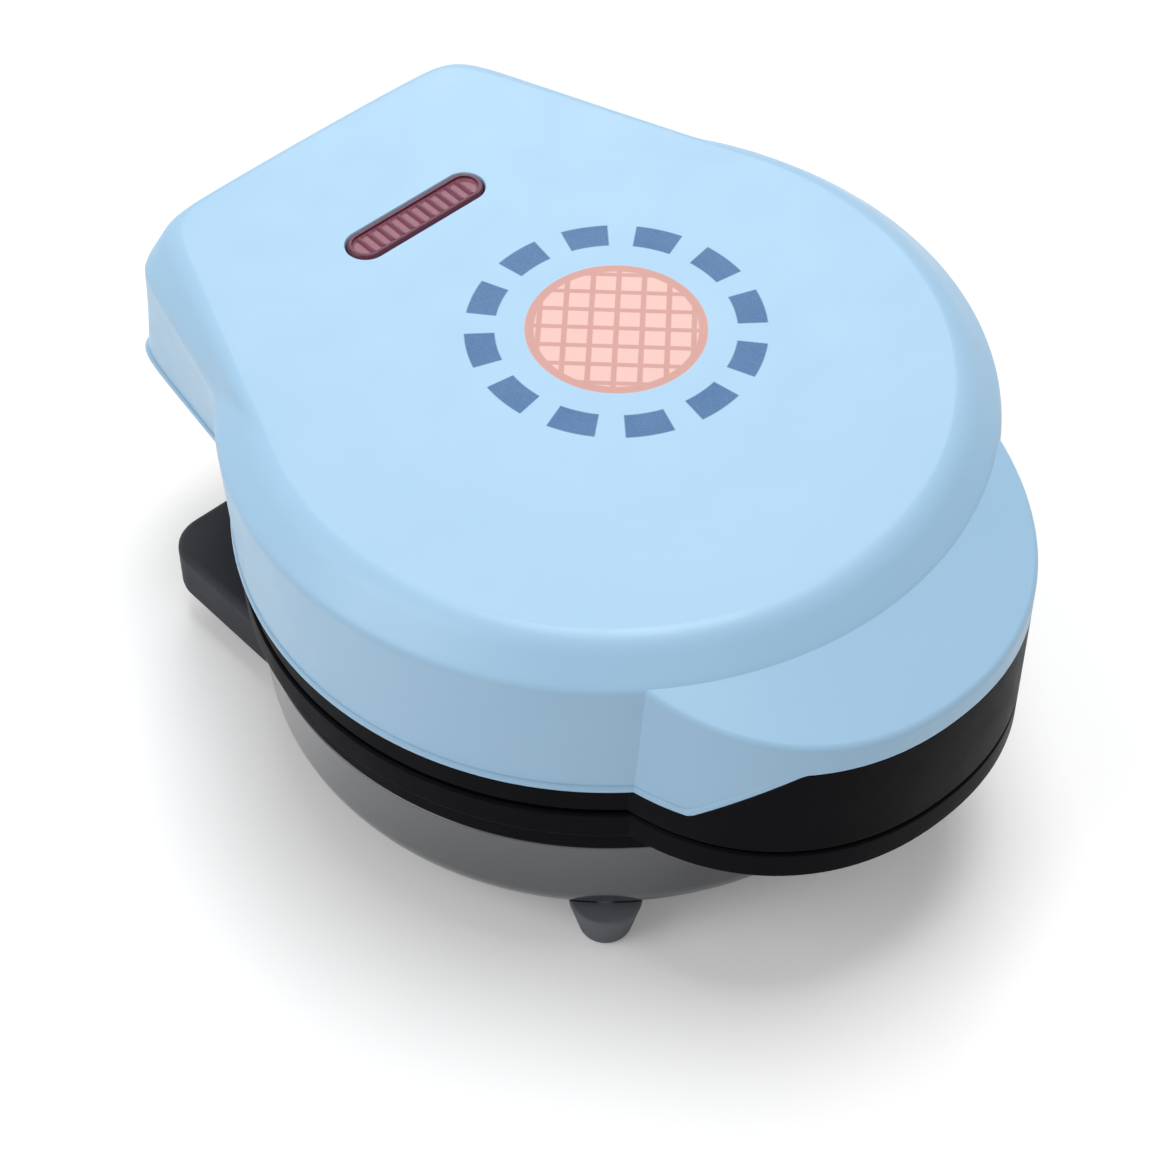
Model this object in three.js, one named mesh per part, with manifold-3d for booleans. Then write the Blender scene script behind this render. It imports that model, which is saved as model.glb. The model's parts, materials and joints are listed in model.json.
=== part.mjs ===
// Mini waffle maker: a countertop cooker with a hinged lid.
// Units are millimetres, +Z is up, the hinge is at +Y and the grips are at -Y.

import * as THREE from "three";
import { mergeVertices } from "three/addons/utils/BufferGeometryUtils.js";
import Module from "manifold-3d";

const wasm = await Module();
wasm.setup();

// Driving sizes of the whole appliance
const applianceHeight = 77.5;
const lidRadius = 63.5;
const gripOverhang = 16.3;
const rearOverhang = 20.4;
const gripReach = lidRadius + gripOverhang;
const rearReach = lidRadius + rearOverhang;
const clearance = 0.3;
const ringClearance = 0.4;
const screwEndGap = 2;
const cutOverrun = 2;
const shellWall = 2.4;
const weldShare = 1e-6;

// Heights above the table
const lensProud = 0.3;
const lidTopHeight = applianceHeight - lensProud;
const bowlFloorHeight = 6.5;
const baseDepthShare = 0.46479;
const baseDepth = (applianceHeight - bowlFloorHeight) * baseDepthShare;
const partingHeight = bowlFloorHeight + baseDepth;
const lidDepth = lidTopHeight - partingHeight;
const lidRimShare = 0.16711;
const shoulderShare = 0.84085;
const ringDepthShare = 0.34848;
const lidRimHeight = partingHeight + lidDepth * lidRimShare;
const shoulderHeight = partingHeight + lidDepth * shoulderShare;
const ringFootHeight = partingHeight - baseDepth * ringDepthShare;
const bowlDepth = ringFootHeight - bowlFloorHeight;

// Lid housing, seen from above: a round body joined to a box over the hinge
const lidLipSwell = 0.5;
const lidLipHeight = 1.6;
const lidLipRound = 0.4;
const lidTopRound = 2;
const lidTopRoundSteps = 3;
const skirtRadius = lidRadius - lidLipSwell;
const skirtFlare = 1.2;
const bandSlope = 6.3;
const shoulderRadius = skirtRadius + skirtFlare;
const plateauRadius = shoulderRadius - bandSlope;
const skirtSideInset = 14.6;
const shoulderSideInset = 6.5;
const skirtSideReach = skirtRadius - skirtSideInset;
const shoulderSideReach = shoulderRadius - shoulderSideInset;
const skirtSideLean = 8.2;
const shoulderSideLean = 15.5;
const plateauSideLean = 21.3;
const shoulderRearInset = 6;
const plateauRearInset = 6.6;
const shoulderRear = rearReach - shoulderRearInset;
const plateauRear = rearReach - plateauRearInset;
const rearBow = 0.75;
const rearBowShare = 0.56693;
const rearBowHalfWidth = lidRadius * rearBowShare;
const cornerSharpness = 28;
const skirtBlend = 5;
const shoulderBlend = 1.5;
const rearWindow = 35;
const outlineRoundSteps = 40;
const outlineRearSteps = 26;
const hollowRoundSteps = 26;
const hollowRearSteps = 14;

// Grip at the front: a blue visor on the lid, a tall black grip under it, a thin one on the base
const gripWidthShare = 0.63937;
const gripDepthShare = 0.65354;
const gripHalfWidth = lidRadius * gripWidthShare;
const gripHalfDepth = lidRadius * gripDepthShare;
const gripOffset = gripReach - gripHalfDepth;
const gripSquareness = 2.15;
const visorSlope = 0.48;
const visorWall = 2.2;
const gripWall = 2.4;
const visorRise = 13.5;
const visorStepFront = 8;
const visorStepBack = visorStepFront + visorRise;
const gripRoofShare = 1.3;
const gripSteps = 40;

// Hinge at the rear
const hingeInset = 16.4;
const hingeDrop = 5;
const hingeY = rearReach - hingeInset;
const hingeZ = partingHeight - hingeDrop;
const barrelRadius = 5.5;
const hingeBlockShare = 0.3685;
const hingeBlockHalfWidth = lidRadius * hingeBlockShare;
const hingeLugInner = hingeBlockHalfWidth + 2 * clearance;
const hingeLugWidth = 7;
const hingeLugTaper = 2.4;
const hingePinRadius = 2;
const hingePinBite = 9;
const hingePinShort = 0.4;
const hingeSteps = 16;
const leadSlotHalfWidth = 9;
const leadSlotWall = 2.2;
const leadSlotHeight = 4;

// Waffle plates, given as depths away from the parting plane
const ringStep = 0.9;
const frameFace = 5.6;
const plateFlangeWidth = 5.8;
const dishWall = 2.4;
const ringRadius = lidRadius - ringStep;
const plateFlangeRadius = ringRadius - frameFace;
const plateFlangeThick = 2;
const dishOuterRadius = plateFlangeRadius - plateFlangeWidth;
const dishRadius = dishOuterRadius - dishWall;
const dishDepthShare = 0.2122;
const dishDepth = lidDepth * dishDepthShare;
const dishDraft = 1.1;
const plateThick = 2.8;
const pegPitch = 13.2;
const pegRoot = 9.6;
const pegTip = 7.6;
const pegHeightShare = 0.65;
const pegHeight = dishDepth * pegHeightShare;
const pegFieldGap = 1.2;
const pegFieldRadius = dishRadius - pegFieldGap;
const pegFieldSteps = 24;
const pegSides = 4;
const plateBossRadius = 2.2;
const plateScrewInset = 2.5;
const plateScrewRing = plateFlangeRadius - plateScrewInset;
const plateScrewAngles = [90, 210, 330];
const plateBackDepth = dishDepth + plateThick;
const plateSteps = 36;

// Frames that hold the plates
const frameWall = 2.4;
const frameSeat = plateFlangeThick + clearance;
const ledgeThick = 2.5;
const ledgeInnerRadius = dishOuterRadius + ringClearance;
const frameOpening = plateFlangeRadius + ringClearance;
const ringChamfer = 0.6;
const ringBandShare = 0.18788;
const ringBandFoot = partingHeight - baseDepth * ringBandShare;
const bezelRadius = ringRadius - clearance;
const bezelTongueThick = 1.5;
const bezelUpstandWall = 1.6;

// Heating elements and shields
const elementRingInset = 13.8;
const elementRing = dishRadius - elementRingInset;
const elementShare = 0.08488;
const elementRadius = lidDepth * elementShare;
const elementGapAngle = 50;
const elementEndAngle = 14;
const elementTurnShare = 0.4;
const elementRingPoints = 16;
const elementSteps = 24;
const elementSides = 8;
const elementDepth = plateBackDepth + clearance + elementRadius;
const shieldPostInset = 5.8;
const shieldPostRing = dishRadius - shieldPostInset;
const shieldPostRadius = 3.2;
const shieldPostAngles = [30, 150, 270];
const shieldAirGap = 1.5;
const shieldPostDepth = plateBackDepth + clearance + 2 * elementRadius + shieldAirGap;
const shieldThick = 0.6;
const shieldEdge = 5;
const shieldRadius = shieldPostRing + shieldEdge;
const shieldRim = 5;
const shieldHoleGap = 1.4;
const shieldHoleRadius = elementRadius + shieldHoleGap;
const shieldHoleSteps = 4;
const shieldDepth = shieldPostDepth + clearance;

// Screws
const screwShank = 1.4;
const screwHead = 2.5;
const screwHeadThick = 1.5;
const screwSides = 8;
const shieldScrewSpare = 1.2;
const shieldScrewLength = shieldPostDepth - plateBackDepth - shieldScrewSpare;
const plateScrewLength = 3.4;
const bezelScrewShare = 0.3183;
const bezelScrewLength = lidDepth * bezelScrewShare;
const bezelScrewInset = 2.4;
const bezelScrewRing = plateFlangeRadius - bezelScrewInset;
const bezelScrewHead = 2.2;
const bezelScrewHeadThick = 1.1;
const bezelScrewSeat = 1.6;
const bezelScrewAngles = [45, 135, 225, 315];
const lidBossRadius = 3;
const baseScrewShare = 0.54545;
const baseScrewLength = baseDepth * baseScrewShare;
const baseScrewInset = 7.6;
const baseScrewRing = ringRadius - baseScrewInset;
const baseScrewAngles = [240, 300];
const screwRecessShare = 0.2093;
const baseScrewRecess = bowlDepth * screwRecessShare;
const rearScrewShare = 0.68376;
const rearScrewX = hingeBlockHalfWidth * rearScrewShare;
const rearScrewY = hingeY - barrelRadius;
const ringBossRadius = 2.7;
const ringBossShare = 0.62791;
const ringBossFoot = bowlFloorHeight + bowlDepth * ringBossShare;
const bowlBossRadius = 4.2;

// Base bowl
const bowlStep = 1.6;
const bowlRadius = ringRadius - bowlStep;
const bowlOpening = bowlRadius + ringClearance;
const bowlDraft = 0.8;
const bowlMidRadius = bowlRadius - bowlDraft;
const bowlMidShare = 0.53488;
const bowlMidHeight = bowlFloorHeight + bowlDepth * bowlMidShare;
const bowlFloorInset = 10.4;
const bowlFloorRadius = bowlMidRadius - bowlFloorInset;
const bowlCornerShare = 0.34884;
const bowlCorner = bowlDepth * bowlCornerShare;
const bowlSteps = 40;
const bowlCornerSteps = 3;
const bowlInnerCornerSteps = 1;
const platformWidthShare = 0.78689;
const platformHalfWidth = bowlRadius * platformWidthShare;
const platformInset = 1.5;
const platformDepth = 36;
const platformRear = hingeY - platformInset;
const platformFront = platformRear - platformDepth;
const platformShare = 0.48837;
const platformTop = bowlFloorHeight + bowlDepth * platformShare;
const platformCorner = 7;
const platformEdge = 1.4;
const platformCornerSteps = 3;
const ventCount = 3;
const ventPitch = 8;
const ventSteps = 2;
const ventWidth = 2;
const ventShare = 0.52209;
const ventLength = bowlFloorRadius * ventShare;

// Feet
const footXShare = 0.76104;
const footYShare = 0.82731;
const footRearShare = 0.72917;
const footRearInset = 11;
const footX = bowlFloorRadius * footXShare;
const footFrontY = -bowlFloorRadius * footYShare;
const footRearX = platformHalfWidth * footRearShare;
const footRearY = platformRear - footRearInset;
const footTopRadius = 5.8;
const footTipRadius = 4.3;
const footRound = 1.2;
const footStemRadius = 2;
const footStemLength = 4;
const footBossRadius = 6.2;
const footBossShare = 0.39535;
const footBossTop = bowlFloorHeight + bowlDepth * footBossShare;
const footSides = 12;

// Indicator in the lid
const lensInset = 35.9;
const lensY = rearReach - lensInset;
const lensHalfSpan = 10.8;
const lensEndRadius = 3.3;
const lensFlange = 1.4;
const lensFlangeThick = 1.6;
const lensSteps = 5;
const lampHolderGap = 0.4;
const shieldStack = shieldDepth + shieldThick + 2 * clearance;
const lensStack = shellWall + lensFlangeThick + 2 * clearance;
const lampHolderDepth = lidDepth - shieldStack - lensStack - lampHolderGap;
const lampLength = 13;
const lampHolderHalfWidth = 8.5;
const lampHolderHalfBreadth = 4.2;
const lampHolderWall = 1.2;
const lampHolderRoom = lampHolderHalfBreadth - lampHolderWall - clearance;
const lampRadius = Math.min((lampHolderDepth - lampHolderWall - lampHolderGap) / 2, lampHolderRoom);

// Control parts in the base
const thermostatRadius = 7.5;
const thermostatShare = 0.2;
const thermostatDepth = baseDepth * thermostatShare;
const thermostatX = 0;
const sensorShare = 0.4;
const thermostatY = elementRing * sensorShare;
const thermostatTabShare = 0.15152;
const thermostatTab = baseDepth * thermostatTabShare;
const thermostatTabHalf = 2.4;
const thermostatTabThick = 0.8;
const strapThick = 0.8;
const strapHalfWidth = 4;
const strapShare = 0.37143;
const strapHalfLength = elementRing * strapShare;
const fuseRadius = 1.9;
const fuseLength = 14;
const fuseX = 0;
const fuseY = -elementRing * sensorShare;
const fuseClipHalf = 3;
const fuseClipWall = 0.8;
const terminalX = 0;
const terminalInset = 19;
const terminalY = platformRear - terminalInset;
const terminalHalfLength = 11;
const terminalHalfWidth = 6;
const terminalShare = 0.21212;
const terminalHeight = baseDepth * terminalShare;
const terminalHole = 1.8;

// Cord gland
const glandHeight = (bowlFloorHeight + platformTop) / 2;
const glandBore = 2.6;
const glandBody = 3.1;
const glandFlange = 3.9;
const glandFlangeThick = 1.4;
const glandSteps = 12;

// Leads
const leadRadius = 1;
const leadSides = 6;
const leadHalfSpread = 5;
const leadBend = 3;
const elementEndShare = 0.33333;
const elementEndReach = baseDepth * elementEndShare;

const degree = Math.PI / 180;
const plateY = (gripReach - rearReach) / 2;

const blue = new THREE.MeshStandardMaterial({ color: 0xb9dcf5, roughness: 0.4, metalness: 0 });
const black = new THREE.MeshStandardMaterial({ color: 0x0b0b0d, roughness: 0.35, metalness: 0 });
const gloss = new THREE.MeshStandardMaterial({ color: 0x1c1d21, roughness: 0.18, metalness: 0 });
const rubber = new THREE.MeshStandardMaterial({ color: 0x2a2b2f, roughness: 0.8, metalness: 0 });
const coating = new THREE.MeshStandardMaterial({ color: 0x2b2a29, roughness: 0.45, metalness: 0.3 });
const steel = new THREE.MeshStandardMaterial({ color: 0xb7bbc0, roughness: 0.35, metalness: 1 });
const lensRed = new THREE.MeshStandardMaterial({ color: 0x8a3f5a, roughness: 0.2, metalness: 0 });
const glass = new THREE.MeshStandardMaterial({ color: 0xf0b48c, roughness: 0.1, metalness: 0 });
const ceramic = new THREE.MeshStandardMaterial({ color: 0xe9e4d8, roughness: 0.5, metalness: 0 });
const sleeve = new THREE.MeshStandardMaterial({ color: 0xd9d6cf, roughness: 0.7, metalness: 0 });

// Turns a closed three.js geometry into a solid with its faces pointing out
function solid(geometry) {
  const bare = new THREE.BufferGeometry();
  bare.setAttribute("position", geometry.getAttribute("position").clone());
  bare.setIndex(geometry.getIndex());
  const merged = mergeVertices(bare, applianceHeight * weldShare);
  const places = merged.getAttribute("position");
  const corners = Array.from(merged.getIndex().array);
  const faces = [];
  let volume = 0;
  const a = new THREE.Vector3();
  const b = new THREE.Vector3();
  const c = new THREE.Vector3();
  for (let i = 0; i < corners.length; i += 3) {
    const face = corners.slice(i, i + 3);
    if (new Set(face).size < 3) {
      continue;
    }
    faces.push(face);
    a.fromBufferAttribute(places, face[0]);
    b.fromBufferAttribute(places, face[1]);
    c.fromBufferAttribute(places, face[2]);
    volume += a.dot(b.cross(c));
  }
  const ordered = volume < 0 ? faces.map((face) => [face[0], face[2], face[1]]) : faces;
  return new wasm.Manifold(new wasm.Mesh({
    numProp: 3,
    vertProperties: new Float32Array(places.array),
    triVerts: new Uint32Array(ordered.flat()),
  }));
}

// Turns a solid back into a geometry for a mesh
function geometryOf(body) {
  const mesh = body.getMesh();
  const geometry = new THREE.BufferGeometry();
  geometry.setAttribute("position", new THREE.BufferAttribute(new Float32Array(mesh.vertProperties), 3));
  geometry.setIndex(new THREE.BufferAttribute(new Uint32Array(mesh.triVerts), 1));
  return geometry;
}

function join(first, ...others) {
  return others.reduce((sum, body) => sum.add(body), first);
}

function cut(first, ...others) {
  return others.reduce((rest, body) => rest.subtract(body), first);
}

// A round bar along +Z that starts at the given place
function bar(radius, x, y, bottom, top, sides = screwSides, topRadius = radius) {
  const geometry = new THREE.CylinderGeometry(topRadius, radius, top - bottom, sides);
  geometry.rotateX(Math.PI / 2);
  geometry.translate(x, y, (top + bottom) / 2);
  return solid(geometry);
}

// A round bar along X
function crossBar(radius, left, right, y, z, sides = screwSides) {
  const geometry = new THREE.CylinderGeometry(radius, radius, right - left, sides);
  geometry.rotateZ(Math.PI / 2);
  geometry.translate((left + right) / 2, y, z);
  return solid(geometry);
}

function box(left, right, front, back, bottom, top) {
  const geometry = new THREE.BoxGeometry(right - left, back - front, top - bottom);
  geometry.translate((left + right) / 2, (front + back) / 2, (bottom + top) / 2);
  return solid(geometry);
}

// Revolves a closed outline of radius and height about Z
function revolve(outline, steps) {
  const points = outline.map(([radius, height]) => new THREE.Vector2(radius, height));
  points.push(points[0].clone());
  const geometry = new THREE.LatheGeometry(points, steps);
  geometry.rotateX(Math.PI / 2);
  return solid(geometry);
}

// Stacks rings of equal point counts, with a fan at each end
function loft(rings) {
  const count = rings[0].points.length;
  const places = [];
  const faces = [];
  for (const ring of rings) {
    for (const [x, y] of ring.points) {
      places.push(x, y, ring.height);
    }
  }
  const first = rings[0];
  const last = rings[rings.length - 1];
  const bottom = places.length / 3;
  places.push(first.centre[0], first.centre[1], first.height);
  places.push(last.centre[0], last.centre[1], last.height);
  const top = bottom + 1;
  for (let level = 0; level + 1 < rings.length; level += 1) {
    for (let i = 0; i < count; i += 1) {
      const next = (i + 1) % count;
      const here = level * count;
      const above = here + count;
      faces.push(here + i, here + next, above + next);
      faces.push(here + i, above + next, above + i);
    }
  }
  const upper = (rings.length - 1) * count;
  for (let i = 0; i < count; i += 1) {
    const next = (i + 1) % count;
    faces.push(bottom, next, i);
    faces.push(top, upper + i, upper + next);
  }
  const geometry = new THREE.BufferGeometry();
  geometry.setAttribute("position", new THREE.Float32BufferAttribute(places, 3));
  geometry.setIndex(faces);
  return solid(geometry);
}

// A flat-ended bar with a rounded rectangle or any other outline, along +Z
function prism(shape, bottom, top, curveSteps = hingeSteps) {
  const geometry = new THREE.ExtrudeGeometry(shape, {
    depth: top - bottom,
    bevelEnabled: false,
    curveSegments: curveSteps,
  });
  geometry.translate(0, 0, bottom);
  return solid(geometry);
}

function roundedRectangle(left, right, front, back, radius) {
  const shape = new THREE.Shape();
  shape.moveTo(left + radius, front);
  shape.lineTo(right - radius, front);
  shape.absarc(right - radius, front + radius, radius, -Math.PI / 2, 0, false);
  shape.lineTo(right, back - radius);
  shape.absarc(right - radius, back - radius, radius, 0, Math.PI / 2, false);
  shape.lineTo(left + radius, back);
  shape.absarc(left + radius, back - radius, radius, Math.PI / 2, Math.PI, false);
  shape.lineTo(left, front + radius);
  shape.absarc(left + radius, front + radius, radius, Math.PI, 1.5 * Math.PI, false);
  return shape;
}

// A straight slot with round ends, along X
function slotShape(halfSpan, radius, y) {
  const shape = new THREE.Shape();
  shape.absarc(halfSpan, y, radius, -Math.PI / 2, Math.PI / 2, false);
  shape.absarc(-halfSpan, y, radius, Math.PI / 2, 1.5 * Math.PI, false);
  return shape;
}

function tube(points, radius, sides, steps) {
  const section = new THREE.Shape();
  section.absarc(0, 0, radius, 0, 2 * Math.PI, false);
  const stops = points.map((point) => new THREE.Vector3(...point));
  const path = new THREE.CatmullRomCurve3(stops, false, "centripetal");
  const geometry = new THREE.ExtrudeGeometry(section, {
    steps,
    curveSegments: sides / 2,
    bevelEnabled: false,
    extrudePath: path,
  });
  return solid(geometry);
}

function around(radius, angle) {
  return [radius * Math.cos(angle * degree), radius * Math.sin(angle * degree)];
}

function blendValues(low, high, share) {
  return low + (high - low) * share;
}

// The three stations that give the lid's outline its form
const lidStations = [
  {
    height: lidRimHeight, round: skirtRadius, side: skirtSideReach, lean: skirtSideLean,
    rear: rearReach - lidLipSwell, blend: skirtBlend,
  },
  {
    height: shoulderHeight, round: shoulderRadius, side: shoulderSideReach, lean: shoulderSideLean,
    rear: shoulderRear, blend: shoulderBlend,
  },
  {
    height: lidTopHeight, round: plateauRadius, side: plateauRadius, lean: plateauSideLean,
    rear: plateauRear, blend: 0,
  },
];

function lidStation(height) {
  const upper = height > shoulderHeight ? 2 : 1;
  const low = lidStations[upper - 1];
  const high = lidStations[upper];
  const share = (height - low.height) / (high.height - low.height);
  const station = {};
  for (const key of Object.keys(low)) {
    station[key] = blendValues(low[key], high[key], share);
  }
  return station;
}

// Distance from the plate's centre to the lid's outline at one angle
function lidReach(station, inset, angle) {
  const round = station.round - inset;
  const across = Math.abs(Math.cos(angle));
  const back = Math.sin(angle);
  const lean = station.lean * degree;
  const folded = Math.atan2(back, across);
  if (folded <= lean) {
    return round;
  }
  const side = (station.side - inset) / (Math.cos(lean) * across + Math.sin(lean) * back);
  const bow = (rearBow * across * across) / (rearBowHalfWidth * rearBowHalfWidth);
  const rearLimit = station.rear - inset;
  const rear = (2 * rearLimit) / (back + Math.sqrt(back * back + 4 * bow * rearLimit));
  const ratio = rear / side;
  const boxed = rear / (1 + ratio ** cornerSharpness) ** (1 / cornerSharpness);
  const highest = Math.max(round, boxed);
  if (station.blend <= 0) {
    return highest;
  }
  const near = Math.max(station.blend - Math.abs(round - boxed), 0) / station.blend;
  return highest + (near * near * station.blend) / 4;
}

// Angles round the lid, closer together where the rear corners turn
function outlineAngles(roundSteps, rearSteps) {
  const angles = [];
  const start = 90 + rearWindow;
  const sweep = 360 - 2 * rearWindow;
  for (let i = 0; i < roundSteps; i += 1) {
    angles.push((start + (sweep * i) / roundSteps) * degree);
  }
  for (let i = 0; i < rearSteps; i += 1) {
    angles.push((start + sweep + (2 * rearWindow * i) / rearSteps) * degree);
  }
  return angles;
}

const outerAngles = outlineAngles(outlineRoundSteps, outlineRearSteps);
const hollowAngles = outlineAngles(hollowRoundSteps, hollowRearSteps);

function lidRing(height, inset, angles) {
  const station = lidStation(height);
  const points = angles.map((angle) => {
    const reach = lidReach(station, inset, angle);
    return [reach * Math.cos(angle), reach * Math.sin(angle)];
  });
  return { height, points, centre: [0, 0] };
}

function lidBody() {
  const rings = [
    lidRing(lidRimHeight, lidLipRound - lidLipSwell, outerAngles),
    lidRing(lidRimHeight + lidLipRound, -lidLipSwell, outerAngles),
    lidRing(lidRimHeight + lidLipHeight - lidLipRound, -lidLipSwell, outerAngles),
    lidRing(lidRimHeight + lidLipHeight, 0, outerAngles),
    lidRing(shoulderHeight, 0, outerAngles),
  ];
  for (let i = 0; i <= lidTopRoundSteps; i += 1) {
    const turn = (i / lidTopRoundSteps) * (Math.PI / 2);
    const drop = lidTopRound * (1 - Math.sin(turn));
    const inset = lidTopRound * (1 - Math.cos(turn));
    rings.push(lidRing(lidTopHeight - drop, inset, outerAngles));
  }
  return loft(rings);
}

function lidHollow() {
  const ceiling = lidTopHeight - shellWall;
  return loft([
    { ...lidRing(lidRimHeight, shellWall, hollowAngles), height: lidRimHeight - cutOverrun },
    lidRing(lidRimHeight, shellWall, hollowAngles),
    lidRing(shoulderHeight, shellWall, hollowAngles),
    lidRing(ceiling, shellWall, hollowAngles),
  ]);
}

// The grip's outline seen from above: a squared oval
function gripPoints(inset) {
  const points = [];
  for (let i = 0; i < gripSteps; i += 1) {
    const turn = (i / gripSteps) * 2 * Math.PI;
    const across = Math.cos(turn);
    const along = Math.sin(turn);
    const power = 2 / gripSquareness;
    points.push([
      (gripHalfWidth - inset) * Math.sign(across) * Math.abs(across) ** power,
      (gripHalfDepth - inset) * Math.sign(along) * Math.abs(along) ** power - gripOffset,
    ]);
  }
  return points;
}

function gripRing(height, inset) {
  return { height, points: gripPoints(inset), centre: [0, -gripOffset] };
}

// The space below a cone whose slope forms the visor's upper face
function underVisor(drop) {
  const foot = partingHeight - cutOverrun;
  const spread = (shoulderHeight - foot) / visorSlope;
  return revolve([
    [0, foot],
    [shoulderRadius + spread - drop / visorSlope, foot],
    [shoulderRadius, shoulderHeight - drop],
    [0, shoulderHeight - drop],
  ], gripSteps);
}

// The space below the visor's lower edge, which rises from the rim to the front
function underVisorEdge(drop, foot) {
  const front = -gripReach - cutOverrun;
  const rim = lidRimHeight - drop;
  const shape = new THREE.Shape();
  shape.moveTo(front, foot);
  shape.lineTo(0, foot);
  shape.lineTo(0, rim);
  shape.lineTo(-gripReach + visorStepBack, rim);
  shape.lineTo(-gripReach + visorStepFront, rim + visorRise);
  shape.lineTo(front, rim + visorRise);
  const width = 2 * lidRadius;
  const geometry = new THREE.ExtrudeGeometry(shape, { depth: width, bevelEnabled: false });
  geometry.rotateX(Math.PI / 2);
  geometry.rotateZ(Math.PI / 2);
  geometry.translate(-width / 2, 0, 0);
  return solid(geometry);
}

function lidGrip() {
  const whole = loft([gripRing(lidRimHeight, 0), gripRing(shoulderHeight, 0)]);
  return cut(whole.intersect(underVisor(0)), underVisorEdge(0, lidRimHeight - cutOverrun));
}

function lidGripHollow() {
  const foot = lidRimHeight - cutOverrun;
  const whole = loft([gripRing(foot, visorWall), gripRing(shoulderHeight, visorWall)]);
  const space = whole.intersect(underVisor(visorWall * Math.hypot(1, visorSlope)));
  return cut(space, bar(shoulderRadius, 0, 0, foot - cutOverrun, shoulderHeight + cutOverrun, gripSteps));
}

// The black grip on the lid's frame, which rises inside the visor
function upperGrip() {
  const face = partingHeight + clearance;
  const whole = loft([
    gripRing(face, ringChamfer),
    gripRing(face + ringChamfer, 0),
    gripRing(shoulderHeight, 0),
  ]);
  const body = whole.intersect(underVisorEdge(clearance, face - cutOverrun));
  const drum = shoulderRadius + clearance;
  return cut(
    body,
    bar(bezelRadius - frameWall / 2, 0, 0, face - cutOverrun, shoulderHeight, plateSteps),
    bar(drum, 0, 0, lidRimHeight - clearance, shoulderHeight, plateSteps),
  );
}

function upperGripHollow() {
  const face = partingHeight + clearance;
  const foot = face - cutOverrun;
  const whole = loft([gripRing(foot, gripWall), gripRing(shoulderHeight, gripWall)]);
  const space = whole.intersect(underVisorEdge(clearance + gripRoofShare * gripWall, foot - cutOverrun));
  return cut(
    space,
    bar(bezelRadius, 0, 0, foot - cutOverrun, shoulderHeight, plateSteps),
    bar(shoulderRadius + clearance + gripWall, 0, 0, lidRimHeight - gripWall, shoulderHeight, plateSteps),
  );
}

function lidHousing() {
  const ledgeTop = partingHeight + clearance + frameSeat + ledgeThick;
  const bossFoot = ledgeTop + clearance;
  const ceiling = lidTopHeight - shellWall / 2;
  let body = join(lidBody(), lidGrip());
  body = cut(body, lidHollow(), lidGripHollow());
  for (const angle of bezelScrewAngles) {
    const [x, y] = around(bezelScrewRing, angle);
    body = join(body, bar(lidBossRadius, x, y, bossFoot, ceiling));
  }
  for (const angle of bezelScrewAngles) {
    const [x, y] = around(bezelScrewRing, angle);
    const bore = screwShank + clearance;
    const boreTop = bossFoot + bezelScrewLength + screwEndGap;
    body = cut(body, bar(bore, x, y, bossFoot - cutOverrun, boreTop));
  }
  const window = slotShape(lensHalfSpan, lensEndRadius + clearance, lensY);
  return cut(body, prism(window, lidTopHeight - shellWall - cutOverrun, applianceHeight + cutOverrun));
}

// The frame under the lid, with the two hinge lugs
function lidBezel() {
  const face = partingHeight + clearance;
  const seat = face + frameSeat;
  const top = seat + ledgeThick;
  const flangeTop = lidRimHeight - clearance;
  const tongueFoot = lidRimHeight + clearance;
  const tongueTop = tongueFoot + bezelTongueThick;
  const inside = skirtRadius - shellWall - 2 * clearance;
  let body = revolve([
    [frameOpening, face],
    [bezelRadius - ringChamfer, face],
    [bezelRadius, face + ringChamfer],
    [bezelRadius, flangeTop],
    [inside, flangeTop],
    [inside, tongueTop],
    [inside - bezelUpstandWall, tongueTop],
    [inside - bezelUpstandWall, top],
    [ledgeInnerRadius, top],
    [ledgeInnerRadius, seat],
    [frameOpening, seat],
  ], plateSteps);
  const tongue = loft([
    lidRing(tongueFoot, shellWall + 2 * clearance, hollowAngles),
    lidRing(tongueTop, shellWall + 2 * clearance, hollowAngles),
  ]);
  const rearHalf = box(-lidRadius, lidRadius, 0, rearReach, tongueFoot - cutOverrun, tongueTop + cutOverrun);
  body = join(body, cut(
    tongue.intersect(rearHalf),
    bar(inside - frameWall / 2, 0, 0, tongueFoot - cutOverrun, tongueTop + cutOverrun, plateSteps),
  ));
  for (const side of [-1, 1]) {
    body = join(body, hingeLug(side, tongueFoot));
  }
  body = cut(join(body, upperGrip()), upperGripHollow());
  const slot = box(
    -leadSlotHalfWidth, leadSlotHalfWidth,
    hingeY - barrelRadius, hingeY + barrelRadius - leadSlotWall,
    tongueFoot - cutOverrun, tongueTop + cutOverrun,
  );
  body = cut(body, slot);
  for (const angle of bezelScrewAngles) {
    const [x, y] = around(bezelScrewRing, angle);
    body = cut(
      body,
      bar(screwShank + clearance, x, y, seat - cutOverrun, top + cutOverrun),
      bar(bezelScrewHead + clearance, x, y, seat - cutOverrun, seat + bezelScrewSeat),
    );
  }
  for (const angle of plateScrewAngles) {
    const [x, y] = around(plateScrewRing, angle);
    body = cut(body, bar(plateBossRadius + clearance, x, y, seat - cutOverrun, top + cutOverrun));
  }
  return body;
}

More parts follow.
